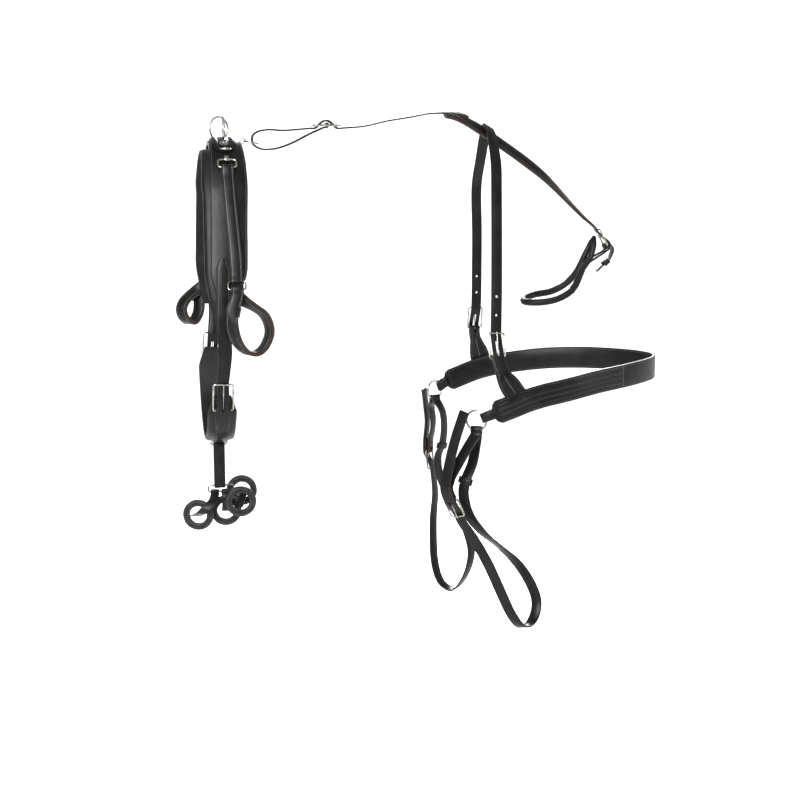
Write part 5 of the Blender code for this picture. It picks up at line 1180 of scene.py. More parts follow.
def make_terrets():
    """A rein ring on a turned foot, on each side of the seat."""
    for name, side in SIDES.items():
        base = OVER.place(side * TERRET_DOWN, SEAT_SHIFT, SEAT_HEIGHT + SEAT_THICK / 2 + GAP)
        out = OVER.at(side * TERRET_DOWN)[3]
        profile = (
            (0, TERRET_FOOT_RADIUS), (TERRET_FOOT_HEIGHT * TERRET_BASE_SHARE, TERRET_FOOT_RADIUS),
            (TERRET_FOOT_HEIGHT * TERRET_NECK_SHARE, TERRET_NECK_RADIUS),
            (TERRET_FOOT_HEIGHT + TERRET_WIRE, TERRET_NECK_RADIUS * TERRET_TOP_SHARE),
        )
        foot = spindle(f"{name}_terret", NICKEL, base, out, profile)
        yaw = radians(NEAR_TERRET_YAW if side < 0 else FAR_TERRET_YAW)
        flat = Vector((sin(yaw), cos(yaw), 0))
        middle = base + out * (TERRET_FOOT_HEIGHT + TERRET_WIRE / 2) + UPWARD * TERRET_RADIUS
        path = circle(middle, flat, UPWARD, TERRET_RADIUS, TERRET_POINTS)
        ring = wire(f"{name}_terret_ring", NICKEL, path, flat.cross(UPWARD), TERRET_WIRE)
        boolean(foot, ring, "UNION")


def dee_place(side, along=0.0, shift=0.0, out=0.0):
    """A place on a dee's plane, which hangs from its top bar against the skirt."""
    middle, tangent, across, outward = OVER.at(side * DEE_DOWN)
    origin = middle + across * DEE_SHIFT + outward * DEE_HEIGHT_ON
    return origin + tangent * side * along + across * shift + outward * out


def make_tugs():
    """Each side's clip and dee, and the tug that hangs on them."""
    clip_wrap = wrap_radius(DEE_WIRE, CLIP_THICK)
    strap_wrap = wrap_radius(DEE_WIRE, THIN_THICK)
    for name, side in SIDES.items():
        outward = OVER.at(side * DEE_DOWN)[3]
        skirt_face = skirt_height(DEE_DOWN) + SKIRT_THICK / 2 - DEE_HEIGHT_ON
        run = [(-CLIP_REACH, skirt_face + GAP + CLIP_THICK / 2), (-CLIP_REACH / 3, -clip_wrap)]
        run += fold(0, 0, clip_wrap, 1) + [(-CLIP_REACH / 4, clip_wrap)]
        centres = [dee_place(side, reach, 0, out) for reach, out in run]
        strap(f"{name}_dee_clip", NICKEL, centres, [TAILWARD] * len(centres), CLIP_WIDTH, CLIP_THICK)
        path = [dee_place(side, reach, shift) for reach, shift in oblong(DEE_HEIGHT, DEE_WIDTH, 2 * DEE_WIRE)]
        wire(f"{name}_tug_dee", NICKEL, path, outward, DEE_WIRE)
        make_tug_strap(name, side, strap_wrap)


def make_tug_strap(name, side, strap_wrap):
    """The doubled strap from a dee down to the tug's ring, the ring, and the loop on that."""
    top = dee_place(side, DEE_HEIGHT)
    tangent, outward = OVER.at(side * DEE_DOWN)[1] * side, OVER.at(side * DEE_DOWN)[3]
    low_middle, low_tangent, _, low_outward = OVER.at(side * TUG_RING_DOWN)
    low_tangent = low_tangent * side
    hang_way = (low_tangent + low_outward * sin(radians(TUG_RING_LEAN))).normalized()
    ring_wrap = wrap_radius(TUG_RING_WIRE, THIN_THICK)
    drift = NEAR_TUG_DRIFT if side < 0 else FAR_TUG_DRIFT
    low = low_middle + TAILWARD * (DEE_SHIFT + drift) + low_outward * DEE_HEIGHT_ON
    inner, outer = [], []
    upper_end, span = DEE_DOWN + DEE_HEIGHT, TUG_RING_DOWN - DEE_DOWN - DEE_HEIGHT
    for down in stations(upper_end + LAYER_STEP, TUG_RING_DOWN)[:-1]:
        share = (down - upper_end) / span
        shift = DEE_SHIFT + drift * share * share * (3 - 2 * share)
        base = DEE_HEIGHT_ON - strap_wrap
        inner.append(OVER.place(side * down, shift, base))
        outer.append(OVER.place(side * down, shift, base + THIN_THICK + GAP))
    upper = [top + tangent * reach + outward * out for reach, out in fold(0, 0, strap_wrap, -1)]
    lower = [low + low_tangent * reach + low_outward * out for reach, out in fold(0, 0, ring_wrap, 1)]
    centres = upper + outer + lower[::-1] + inner[::-1]
    acrosses = [TAILWARD] * len(centres)
    strap(f"{name}_tug_strap", LEATHER, centres, acrosses, TUG_STRAP_WIDTH, THIN_THICK, closed=True)
    path = []
    for reach, shift in oblong(TUG_RING_HEIGHT, TUG_RING_WIDTH, 2 * TUG_RING_WIRE):
        path.append(low + hang_way * reach + TAILWARD * shift)
    wire(f"{name}_tug_ring", NICKEL, path, low_outward, TUG_RING_WIRE)
    make_tug_loop(name, side, low + hang_way * TUG_RING_HEIGHT)


def make_tug_loop(name, side, bar):
    """The shaft loop, thick and turned on itself, with its keeper sewn round the front run."""
    wrap = wrap_radius(TUG_RING_WIRE, TUG_THICK)
    out_way = Vector((0, side, 0))
    turns = [pi * step / 4 for step in range(5)]
    places = [bar + (out_way * -cos(turn) + UPWARD * sin(turn)) * wrap for turn in turns]
    acrosses = [TAILWARD] * len(places)
    table = NEAR_TUG_LOOP_SHARES if side < 0 else FAR_TUG_LOOP_SHARES
    for tail, out, down, wide_tail, wide_out in table:
        shift = TAILWARD * tail * TUG_LOOP_WIDTH + out_way * out * TUG_LOOP_DEPTH
        places.append(bar + shift - UPWARD * down * TUG_LOOP_DROP)
        acrosses.append(TAILWARD * wide_tail + out_way * wide_out)
    places.append(places[0])
    acrosses.append(TAILWARD)
    centres, wides = [row[:-1] for row in smooth(places, acrosses)]
    loop = strap(f"{name}_tug_loop", LEATHER, centres, wides, TUG_STRAP_WIDTH, TUG_THICK, closed=True)
    spots = [len(centres) * share for share in TUG_KEEPER_SHARES]
    sleeve = [between(centres, spot) for spot in spots], [between(wides, spot) for spot in spots]
    size = TUG_STRAP_WIDTH + 2 * KEEPER_THICK, TUG_THICK + 2 * KEEPER_THICK
    boolean(loop, strap(f"{name}_tug_keeper", LEATHER, *sleeve, *size), "UNION")


def make_girth():
    """The stuffed girth, the strap sewn along it with a buckle folded into each end, and the billets."""
    near_heel = SADDLE_REACH + NEAR_GIRTH_BELOW - HALF_ROUND
    far_heel = HALF_ROUND - SADDLE_REACH - FAR_GIRTH_BELOW
    start, end = near_heel - GIRTH_PAST_HEEL, far_heel + GIRTH_PAST_HEEL
    centres, thick, edges = [], [], []
    for distance in stations(start, end):
        inward = min(distance - start, end - distance)
        height = GIRTH_THICK * (GIRTH_EDGE_SHARE + (1 - GIRTH_EDGE_SHARE) * min(inward / GIRTH_THICK, 1))
        half = GIRTH_WIDTH / 2 * (GIRTH_END_SHARE + (1 - GIRTH_END_SHARE) * min(inward / GIRTH_TAPER, 1))
        centres.append(UNDER.place(distance, 0, GIRTH_THICK - height / 2))
        thick.append(height)
        edges.append((-half, half))
    acrosses = [-TAILWARD] * len(centres)
    ribbon("girth_body", PADDING, centres, acrosses, edges, thick, PAD_SHARES)

    run = chape_run(near_heel, -1, GIRTH_BAR_HEIGHT)
    run += [(distance, GIRTH_STRAP_HEIGHT) for distance in stations(near_heel, far_heel)[1:-1]]
    run += chape_run(far_heel, 1, GIRTH_BAR_HEIGHT)[::-1]
    centres, acrosses = on_route(UNDER, run)
    body = strap("girth_strap", LEATHER, centres, acrosses, GIRTH_STRAP_WIDTH, STRAP_THICK)
    for name, heel, way in (("near", near_heel, -1), ("far", far_heel, 1)):
        chape_slot(body, UNDER, heel, way, GIRTH_BAR_HEIGHT)
        size = (GIRTH_BUCKLE_LENGTH, GIRTH_STRAP_WIDTH, GIRTH_BAR_HEIGHT)
        buckle(f"{name}_girth", UNDER, heel, way, *size)
        make_billet(name, heel, way)


def make_billet(name, heel, way):
    """The strap from under the skirt's face down through the girth buckle, narrow below its shoulder."""
    top = heel + way * (HALF_ROUND - abs(heel) - BILLET_TOP)
    saddle_end = heel + way * (HALF_ROUND - abs(heel) - SADDLE_REACH)
    shoulder = heel + way * (GIRTH_BUCKLE_LENGTH + BILLET_SHOULDER_UP)
    full, narrow = BILLET_FULL / 2, BILLET_NARROW / 2
    run = [(distance, BILLET_HEIGHT) for distance in steps_between(top, saddle_end, 6)]
    through = billet_run(heel, way, GIRTH_BUCKLE_LENGTH, GIRTH_BAR_HEIGHT, BILLET_PAST_HEEL)
    run += [((saddle_end + through[0][0]) / 2, (BILLET_HEIGHT + through[0][1]) / 2)] + through
    centres, acrosses, edges = [], [], []
    for distance, height in run:
        up = way * (distance - shoulder)
        shift = -BILLET_SHIFT * min(max(up / BILLET_SHOULDER_UP, 0), 1)
        half = full if up > 0 else narrow
        if distance in (run[0][0], run[-1][0]):
            half = narrow / 2
        centres.append(UNDER.place(distance, shift, height))
        acrosses.append(UNDER.at(distance)[2])
        edges.append((-half, half))
    body = ribbon(f"{name}_billet", LEATHER, centres, acrosses, edges, [STRAP_THICK] * len(centres))
    billet_slot(body, UNDER, heel, way, GIRTH_BUCKLE_LENGTH, GIRTH_BAR_HEIGHT)


def back_place(tail_share, up_share):
    """A place over the loins, from the backstrap's front to the croup."""
    return Vector((BACK_START + tail_share * CROUP_REACH, 0, up_share * CROUP_RISE))


def twisted(angle):
    """A width direction turned from level towards upright."""
    return Vector((0, cos(radians(angle)), sin(radians(angle))))


spine_places = [back_place(*shares) for shares in SPINE_SHARES]
croup = spine_places[-1]
for tail_share, down_share in TAIL_SHARES:
    spine_places.append(croup + TAILWARD * tail_share * TAIL_REACH - UPWARD * down_share * TAIL_DROP)
spine_turns = [0] * (len(SPINE_SHARES) - 1) + list(TWIST_SHARES)
SPINE = Route(spine_places, [twisted(BACKSTRAP_TWIST * turn) for turn in spine_turns], turn=-1)
CROUP_AT = sum((after - before).length for before, after in zip(spine_places[:5], spine_places[1:6]))
MAIN_DROP = STRAP_THICK / 2 + 3 * GAP + BACKSTRAP_THICK / 2
TAIL_AT = SPINE.reach[-1]


def make_back_ring():
    """The ring in the staple at the saddle's rear."""
    play = EYE_RADIUS - EYE_WIRE - BACK_RING_WIRE - GAP
    hinge = OVER.place(0, 0, TREE_HEIGHT) + TAILWARD * (EYE_OUT + play) + UPWARD * EYE_UP
    slope = Vector((cos(radians(BACK_RING_TILT)), 0, -sin(radians(BACK_RING_TILT))))
    path = circle(hinge + slope * BACK_RING_RADIUS, slope, FARWARD, BACK_RING_RADIUS, BACK_RING_POINTS)
    wire("back_ring", NICKEL, path, slope.cross(FARWARD), BACK_RING_WIRE)


def make_backstrap_loop(bar, wrap):
    """The front strap, folded round the ring at its front and round the bar of its slide."""
    over = wrap + STRAP_THICK + GAP
    half, clear = SLIDE_LENGTH / 2, 2 * SLIDE_WIRE
    end = CROUP_AT + OVERLAP_REACH
    run = [(distance, 0) for distance in stations(0, end, TWIST_STEP)[::-1]]
    centres, acrosses = on_route(SPINE, run)
    flat = -wrap - SLIDE_PLAY
    slide_run = [(half - clear, flat), (clear * 1.5, over), (-clear * 1.5, over)]
    slide_run += [(clear - half, flat), (-half - clear, flat)]
    front = [bar + TAILWARD * reach + UPWARD * up for reach, up in slide_run]
    table = UPPER_RUN_SHARES[1:] + FRONT_FOLD_SHARES + LOWER_RUN_SHARES
    curve = [front[-1]] + [back_place(*shares) for shares in table]
    end_run = [bar + TAILWARD * reach + UPWARD * up for reach, up in fold(0, 0, wrap, 1)]
    curve.append(end_run[0] - TAILWARD * clear)
    front = front[:-1] + [point for point, _ in flow(curve, 3)] + end_run
    acrosses += [FARWARD] * len(front)
    strap("backstrap_loop", LEATHER, centres + front, acrosses, STRAP_WIDTH, STRAP_THICK)


def make_slide(bar):
    """The slide that the front strap is adjusted with: a frame with a bar across its middle."""
    outer = STRAP_WIDTH + 2 * (BUCKLE_SPARE + SLIDE_WIRE)
    outline_of = oblong(SLIDE_LENGTH, outer, 2 * SLIDE_WIRE)
    path = [bar + TAILWARD * (reach - SLIDE_LENGTH / 2) + FARWARD * shift for reach, shift in outline_of]
    slide = wire("backstrap_slide", NICKEL, path, UPWARD, SLIDE_WIRE)
    middle = [bar - FARWARD * (outer / 2), bar + FARWARD * (outer / 2)]
    boolean(slide, wire("slide_bar", NICKEL, middle, TAILWARD, SLIDE_WIRE - GAP / 4, closed=False), "UNION")


def make_backstrap():
    """The front strap and its slide, then the doubled strap that runs on through the crupper's buckle."""
    wrap = wrap_radius(SLIDE_WIRE, STRAP_THICK)
    bar = back_place(SLIDE_SHARE, SPINE_SHARES[0][1]) + UPWARD * (wrap + SLIDE_PLAY)
    make_backstrap_loop(bar, wrap)
    make_slide(bar)

    start = CROUP_AT - OVERLAP_REACH / 4
    heel = TAIL_AT + SMALL_BUCKLE_LENGTH
    run = [(distance, -MAIN_DROP) for distance in stations(start, TAIL_AT - OVERLAP_REACH, TWIST_STEP)]
    centres, acrosses = on_route(SPINE, run)
    through = billet_run(heel, -1, SMALL_BUCKLE_LENGTH, 0, CRUPPER_TIP_REACH)
    tail, wide = on_route(CRUPPER, [(distance - TAIL_AT, height) for distance, height in through])
    thick = [BACKSTRAP_THICK] * len(centres) + [STRAP_THICK] * len(tail)
    widths = [STRAP_WIDTH] * len(centres) + [DOCK_STRAP_WIDTH] * len(tail)
    edges = [(-width / 2, width / 2) for width in widths]
    main = ribbon("backstrap", LEATHER, centres + tail, acrosses + wide, edges, thick)
    billet_slot(main, CRUPPER, SMALL_BUCKLE_LENGTH, -1, SMALL_BUCKLE_LENGTH, 0)


def crupper_route():
    """Straight through the buckle, then bent forward under the tail."""
    end, along, _, out = SPINE.at(TAIL_AT)
    way = (along - out * sin(radians(CRUPPER_TURN))).normalized()
    start = end + out * (BAR_WRAP - MAIN_DROP)
    heel = start + way * SMALL_BUCKLE_LENGTH
    bend = heel + way * CRUPPER_BEND_AT
    onward = Matrix.Rotation(radians(CRUPPER_BEND), 3, FARWARD) @ way
    places = [start, heel, bend, bend + onward * SMALL_BUCKLE_LENGTH, bend + onward * 2 * SMALL_BUCKLE_LENGTH]
    return Route(places, [FARWARD] * len(places), turn=-1)


CRUPPER = crupper_route()


def crupper_tube(yoke):
    """Rings of the stuffed loop that passes under the tail, thin at its yoke."""
    places = [yoke]
    for side, table in ((NEAR, CRUPPER_NEAR_SHARES), (FAR, CRUPPER_FAR_SHARES[::-1])):
        for tail, out, down in table:
            level = FARWARD * side * out * CRUPPER_HALF - UPWARD * down * CRUPPER_DROP
            places.append(yoke + TAILWARD * tail * CRUPPER_REACH + level)
    places.append(yoke)
    line = [point for point, _ in flow(places, 2)[:-1]]
    rings = []
    for i, centre in enumerate(line):
        tangent = line[(i + 1) % len(line)] - line[i - 1]
        share = min(min(i, len(line) - i) / CRUPPER_SWELL_STEPS, 1)
        radius = CRUPPER_YOKE + (CRUPPER_TUBE - CRUPPER_YOKE) * share
        _, up, out = frame(tangent, UPWARD + TAILWARD)
        rings.append(circle(centre, up, out, radius, CRUPPER_SIDES))
    return rings


def make_crupper():
    """The buckle, the stuffed loop with its chape, and the keeper over its strap."""
    heel = SMALL_BUCKLE_LENGTH
    buckle("crupper", CRUPPER, heel, -1, SMALL_BUCKLE_LENGTH, DOCK_STRAP_WIDTH, 0)
    depth = BAR_WRAP + STRAP_THICK / 2 + CRUPPER_CLEAR + CRUPPER_YOKE
    yoke = CRUPPER.place(heel - CRUPPER_TAB, 0, -depth)
    dock = solid("crupper_dock", PADDING, crupper_tube(yoke), closed=True)
    seats = []
    for tail, down in CHAPE_SEAT_SHARES:
        seats.append(yoke + TAILWARD * tail * CRUPPER_REACH - UPWARD * down * CRUPPER_DROP)
    run = [(heel + BAR_WRAP, -BAR_WRAP)] + fold(heel, 0, BAR_WRAP, -1)
    run += [(heel + BAR_WRAP * along, BAR_WRAP * up) for along, up in CHAPE_END_SHARES]
    centres, _ = on_route(CRUPPER, run)
    centres, acrosses = [seats[0]] + centres + [seats[1]], [FARWARD] * (len(run) + 2)
    chape = strap("crupper_chape", LEATHER, centres, acrosses, DOCK_STRAP_WIDTH, STRAP_THICK)
    chape_slot(chape, CRUPPER, heel, -1, 0)
    boolean(dock, chape, "UNION")
    low, high = BILLET_OVER - STRAP_THICK / 2, BILLET_OVER + STRAP_THICK / 2
    keeper("crupper_keeper", LEATHER, CRUPPER, heel + CRUPPER_KEEPER_DOWN, DOCK_STRAP_WIDTH, low, high)


def hip_route(side):
    """From the croup down over the hip to the breeching."""
    crossing, _, wide, out = SPINE.at(CROUP_AT + HIP_CROSS_SHARE * TAIL_REACH)
    crest = crossing + wide * (STRAP_WIDTH / 2) - out * MAIN_DROP + UPWARD * (GAP + STRAP_THICK + HIP_TOP)
    places = []
    for outward, down, near_sway, far_sway in HIP_SHARES:
        sway = (near_sway if side < 0 else far_sway) * HIP_SWAY
        level = 0 if outward == 0 else crest.y * (1 - outward)
        places.append(Vector((crest.x + sway, level + side * outward * HIP_HALF, crest.z - down * HIP_DROP)))
    places[0].y = crest.y
    return places


HIP_CREST_WAY = SPINE.at(CROUP_AT + HIP_CROSS_SHARE * TAIL_REACH)[1]
hip_wide = [HIP_CREST_WAY, HIP_CREST_WAY] + [TAILWARD] * (len(HIP_SHARES) - 2)
HIP = {side: Route(hip_route(side), hip_wide, turn=side) for side in (NEAR, FAR)}


def make_hips():
    """One strap over the croup, with a buckle and an uptug at each end."""
    halves = {}
    for side in (NEAR, FAR):
        heel = HIP[side].reach[-1] - UPTUG_REACH
        through = billet_run(heel, -1, HIP_BUCKLE_LENGTH, BAR_WRAP, HIP_TIP_REACH)
        run = [(distance, 0) for distance in steps_between(0, through[0][0], 20)[:-1]] + through
        halves[side] = on_route(HIP[side], run)
    centres = halves[NEAR][0][::-1] + halves[FAR][0][1:]
    acrosses = halves[NEAR][1][::-1] + halves[FAR][1][1:]
    body = strap("hip_strap", LEATHER, centres, acrosses, STRAP_WIDTH, STRAP_THICK)
    for name, side in SIDES.items():
        route, heel = HIP[side], HIP[side].reach[-1] - UPTUG_REACH
        billet_slot(body, route, heel, -1, HIP_BUCKLE_LENGTH, BAR_WRAP)
        buckle(f"{name}_hip", route, heel, -1, HIP_BUCKLE_LENGTH, STRAP_WIDTH, BAR_WRAP)
        foot = route.reach[-1]
        run = chape_run(heel, -1, BAR_WRAP) + [(distance, 0) for distance in steps_between(heel, foot, 8)[1:]]
        centres, acrosses = on_route(route, run)
        edges = []
        for distance, height in run:
            flare = (distance - heel) / (foot - heel) * UPTUG_FLARE - UPTUG_FLARE_FROM
            share = min(max(flare, 0), 1) if height == 0 else 0
            half = (STRAP_WIDTH + (UPTUG_FOOT_WIDTH - STRAP_WIDTH) * share) / 2
            edges.append((-half, half))
        uptug = ribbon(f"{name}_uptug", LEATHER, centres, acrosses, edges, [STRAP_THICK] * len(run))
        chape_slot(uptug, route, heel, -1, BAR_WRAP)


def ring_middle(side):
    """The middle of a breeching ring."""
    return Vector((BREECHING_START, side * BREECHING_HALF * BREECHING_RING_OUT_SHARE, -BREECHING_DROP))


def ring_way(side):
    """The direction across a breeching ring's plane, rearward and a little outward."""
    yaw = radians(BREECHING_RING_YAW)
    return Vector((cos(yaw), side * sin(yaw), 0))


def ring_pull(side):
    """The direction in which the breeching leaves a ring, in the ring's plane."""
    lift = radians(BREECHING_LIFT)
    return ring_way(side) * cos(lift) + UPWARD * sin(lift)


def ring_bow(width):
    """How far a ring's wire bows away under a strap of this width."""
    radius = BREECHING_RING_RADIUS - BREECHING_RING_WIRE
    return radius - (radius * radius - width * width / 4) ** 0.5


RING_WRAP = wrap_radius(BREECHING_RING_WIRE, STRAP_THICK) + GAP


def breeching_route():
    """From the near ring round behind the quarters to the far ring."""
    halves = {}
    for side in (NEAR, FAR):
        pull = ring_pull(side)
        rear = ring_middle(side) + pull * BREECHING_RING_RADIUS
        places = [rear - pull * RING_WRAP * 2, rear + pull * RING_WRAP * 2]
        for tail, out, up in BREECHING_SHARES:
            level = UPWARD * (up * BREECHING_RISE - BREECHING_DROP)
            rearward = TAILWARD * (BREECHING_START + tail * BREECHING_REACH)
            places.append(rearward + FARWARD * side * out * BREECHING_HALF + level)
        halves[side] = places
    places = halves[NEAR] + halves[FAR][-2::-1]
    return Route(places, [UPWARD] * len(places), turn=-1)


BREECHING = breeching_route()


def make_breeching():
    """The broad strap behind the quarters, each end folded round the rear of a ring."""
    bar_at = 2 * RING_WRAP
    slack = ring_bow(BREECHING_CHAPE_WIDTH) + GAP
    whole = BREECHING.reach[-1]
    past = steps_between(bar_at, bar_at + CHAPE_REACH, 4)[1:]
    start = [(distance, -RING_WRAP) for distance in past[::-1]] + fold(bar_at, 0, RING_WRAP, -1, slack)
    half = []
    flare, broad = bar_at + CHAPE_REACH, bar_at + CHAPE_REACH + CHAPE_FLARE
    for distance in past[:-1] + steps_between(flare, broad, 3)[:-1] + steps_between(broad, whole / 2, 15):
        share = min(max((distance - flare) / CHAPE_FLARE, 0), 1)
        half.append((distance, RING_WRAP * (1 - share), share))
    run = [(distance, height, 0) for distance, height in start] + half
    back = [(whole - distance, height, share) for distance, height, share in run[-2::-1]]
    centres, acrosses, edges, thick = [], [], [], []
    for distance, height, share in run + back:
        centres.append(BREECHING.place(distance, 0, height))
        acrosses.append(BREECHING.at(distance)[2])
        width = BREECHING_CHAPE_WIDTH + (BREECHING_HEIGHT - BREECHING_CHAPE_WIDTH) * share ** 0.5
        edges.append((-width / 2, width / 2))
        thick.append(STRAP_THICK + (BREECHING_THICK - STRAP_THICK) * share)
    ribbon("breeching", LEATHER, centres, acrosses, edges, thick)
    for name, side in SIDES.items():
        way = ring_way(side)
        path = circle(ring_middle(side), way, UPWARD, BREECHING_RING_RADIUS, BREECHING_RING_POINTS)
        wire(f"{name}_breeching_ring", NICKEL, path, way.cross(UPWARD), BREECHING_RING_WIRE)


def holdback_place(side, tail, out, down):
    """A place on a holdback, from shares of its reach, depth and drop from the ring's middle."""
    reach = TAILWARD * (tail * HOLDBACK_REACH) + FARWARD * (side * out * HOLDBACK_DEPTH)
    return ring_middle(side) + reach - UPWARD * (down * HOLDBACK_DROP)


def holdback_rows(side, table):
    """Places and width directions on a holdback, from a table of shares."""
    places = [holdback_place(side, *row[:3]) for row in table]
    return places, [Vector((row[3], side * row[4], row[5])) for row in table]


def over_ring(side):
    """The half turn of a holdback over the lower wire of its ring."""
    way = ring_way(side)
    aside = Vector((-way.y * side, way.x * side, 0))
    bar = ring_middle(side) - UPWARD * BREECHING_RING_RADIUS
    slack = ring_bow(STRAP_WIDTH)
    return [
        bar + aside * RING_WRAP * cos(turn) + UPWARD * (slack + RING_WRAP * sin(turn))
        for turn in HALF_TURN
    ]


def make_holdback(name, side, rise, loop, heel_shares, tips):
    """One strap: from its buckle up over the ring, down round the big loop, and back through the buckle."""
    way, over = ring_way(side), over_ring(side)
    rise_line, rise_wide = holdback_rows(side, rise)
    rise_line.append(over[0] - UPWARD * 2 * RING_WRAP)
    rise_wide.append(way)
    loop_line, loop_wide = holdback_rows(side, loop)
    loop_line.insert(0, over[-1] - UPWARD * RING_WRAP)
    loop_wide.insert(0, way)
    heel_place = holdback_place(side, *heel_shares)
    front_place = heel_place + (loop_line[-1] - heel_place).normalized() * SMALL_BUCKLE_LENGTH
    line = [loop_line[-1], front_place, heel_place] + [holdback_place(side, *row) for row in tips]
    through = Route(line, [loop_wide[-1]] * len(line), turn=-side)
    heel, tip = through.marks[2], through.reach[-1] - through.marks[2]

    under = [(heel + reach, 0) for reach in (CHAPE_PAST_HEEL / 2, CHAPE_PAST_HEEL)]
    centres, acrosses = on_route(through, chape_run(heel, -1, BAR_WRAP) + under)
    lift, lift_wide = smooth([centres[-1]] + rise_line, [acrosses[-1]] + rise_wide)
    hang, hang_wide = smooth(loop_line, loop_wide)
    last, last_wide = on_route(through, billet_run(heel, -1, SMALL_BUCKLE_LENGTH, BAR_WRAP, tip))
    centres += lift[1:] + over + hang + last
    acrosses += lift_wide[1:] + [way] * len(over) + hang_wide + last_wide
    body = strap(f"{name}_holdback", LEATHER, centres, acrosses, STRAP_WIDTH, STRAP_THICK)
    chape_slot(body, through, heel, -1, BAR_WRAP)
    billet_slot(body, through, heel, -1, SMALL_BUCKLE_LENGTH, BAR_WRAP)
    buckle(f"{name}_holdback", through, heel, -1, SMALL_BUCKLE_LENGTH, STRAP_WIDTH, BAR_WRAP)
    down = Route(loop_line, loop_wide, steps=3)
    half = STRAP_THICK / 2
    keeper(f"{name}_holdback_keeper", LEATHER, down, down.marks[3], STRAP_WIDTH, -half, half)


def make_staple(belly, bar):
    """The staple under the girth that the drop strap hangs from."""
    half, corner = STAPLE_WIDTH / 2, 2 * STAPLE_WIRE
    path = []
    for shift, level in ((-half, belly.z - GAP), (-half, bar.z + corner), (corner - half, bar.z)):
        path.append(Vector((belly.x + shift, 0, level)))
    path += [Vector((2 * belly.x - point.x, 0, point.z)) for point in path[::-1]]
    wire("girth_staple", NICKEL, path, FARWARD, STAPLE_WIRE, closed=False)


def make_drop():
    """The staple under the girth, its strap and the link on that. Gives the link's lower bar."""
    wrap = wrap_radius(STAPLE_WIRE, STRAP_THICK)
    belly = UNDER.place(0, 0, GIRTH_STRAP_HEIGHT + STRAP_THICK / 2 + GAP)
    bar = belly - UPWARD * (wrap + STRAP_THICK / 2)
    make_staple(belly, bar)

    link_bar = bar - UPWARD * DROP_REACH
    centres = []
    for middle, up in ((bar, 1), (link_bar, -1)):
        for turn in HALF_TURN:
            centres.append(middle + FARWARD * up * wrap * cos(turn) + UPWARD * up * wrap * sin(turn))
    acrosses = [TAILWARD] * len(centres)
    strap("drop_strap", LEATHER, centres, acrosses, DROP_STRAP_WIDTH, STRAP_THICK, closed=True)
    path = []
    for reach, shift in oblong(LINK_HEIGHT, LINK_WIDTH, 2 * LINK_WIRE):
        path.append(link_bar + TAILWARD * (shift + LINK_SHIFT) - UPWARD * reach)
    wire("drop_link", NICKEL, path, FARWARD, LINK_WIRE)
    return link_bar - UPWARD * LINK_HEIGHT + TAILWARD * LINK_SHIFT


def make_rubber_rings(low_bar):
    """Two straps hung on the link, and the four rubber rings on them."""
    def at(tail, far, down):
        level = FARWARD * far * CLUSTER_DEPTH - UPWARD * down * CLUSTER_DROP
        return low_bar + TAILWARD * tail * CLUSTER_REACH + level

    wrap = wrap_radius(LINK_WIRE, RING_STRAP_THICK)
    tables = (
        ("a", STRAP_A_SHIFT_SHARE, STRAP_A_SHARES, [STRAP_A_WIDE_SHARES] * len(STRAP_A_SHARES)),
        ("b", STRAP_B_SHIFT_SHARE, STRAP_B_SHARES, STRAP_B_WIDE_SHARES),
    )
    for letter, shift_share, table, wides in tables:
        bar = low_bar + TAILWARD * (shift_share * LINK_WIDTH)
        over = [bar + FARWARD * wrap - UPWARD * 1.2 * wrap]
        over += [bar + FARWARD * wrap * cos(turn) + UPWARD * wrap * sin(turn) for turn in HALF_TURN]
        places = [over[-1]] + [at(*row) for row in table]
        line, wide = smooth(places, [TAILWARD] + [Vector(row) for row in wides])
        centres, acrosses = over + line[1:], [TAILWARD] * len(over) + wide[1:]
        strap(f"rubber_strap_{letter}", LEATHER, centres, acrosses, RING_STRAP_WIDTH, RING_STRAP_THICK)
    width = RUBBER_OUTER - RUBBER_BORE
    profile = [(RUBBER_BORE + width * out, RUBBER_THICK / 2 * up) for out, up in RUBBER_SHARES]
    for letter, row in RUBBER_PLACE_SHARES.items():
        turned(f"rubber_ring_{letter}", RUBBER, at(*row[:3]), Vector(row[3:]), profile)


def reaches(line):
    """Distances along a strap's line to each of its points."""
    reach = [0.0]
    for before, after in zip(line, line[1:]):
        reach.append(reach[-1] + (after[0] - before[0]).length)
    return reach


def row_shift(shift, width):
    """A row's shift across a strap: a distance, or left or right for the row beside that edge."""
    beside = {"left": STITCH_IN - width / 2, "right": width / 2 - STITCH_IN}
    return beside.get(shift, shift)


def stitch_rings(spots):
    """Rings of one stitch through three spots, each with its place and its outward direction."""
    along = (spots[2][0] - spots[0][0]).normalized()
    rings = []
    for (point, out), size in zip(spots, (STITCH_END_SHARE, 1, STITCH_END_SHARE)):
        aside = out.cross(along)
        ring = [aside * cos(turn) + out * sin(turn) * STITCH_FLATNESS for turn in STITCH_TURNS]
        rings.append([point + way * STITCH_HALF * size for way in ring])
    return rings


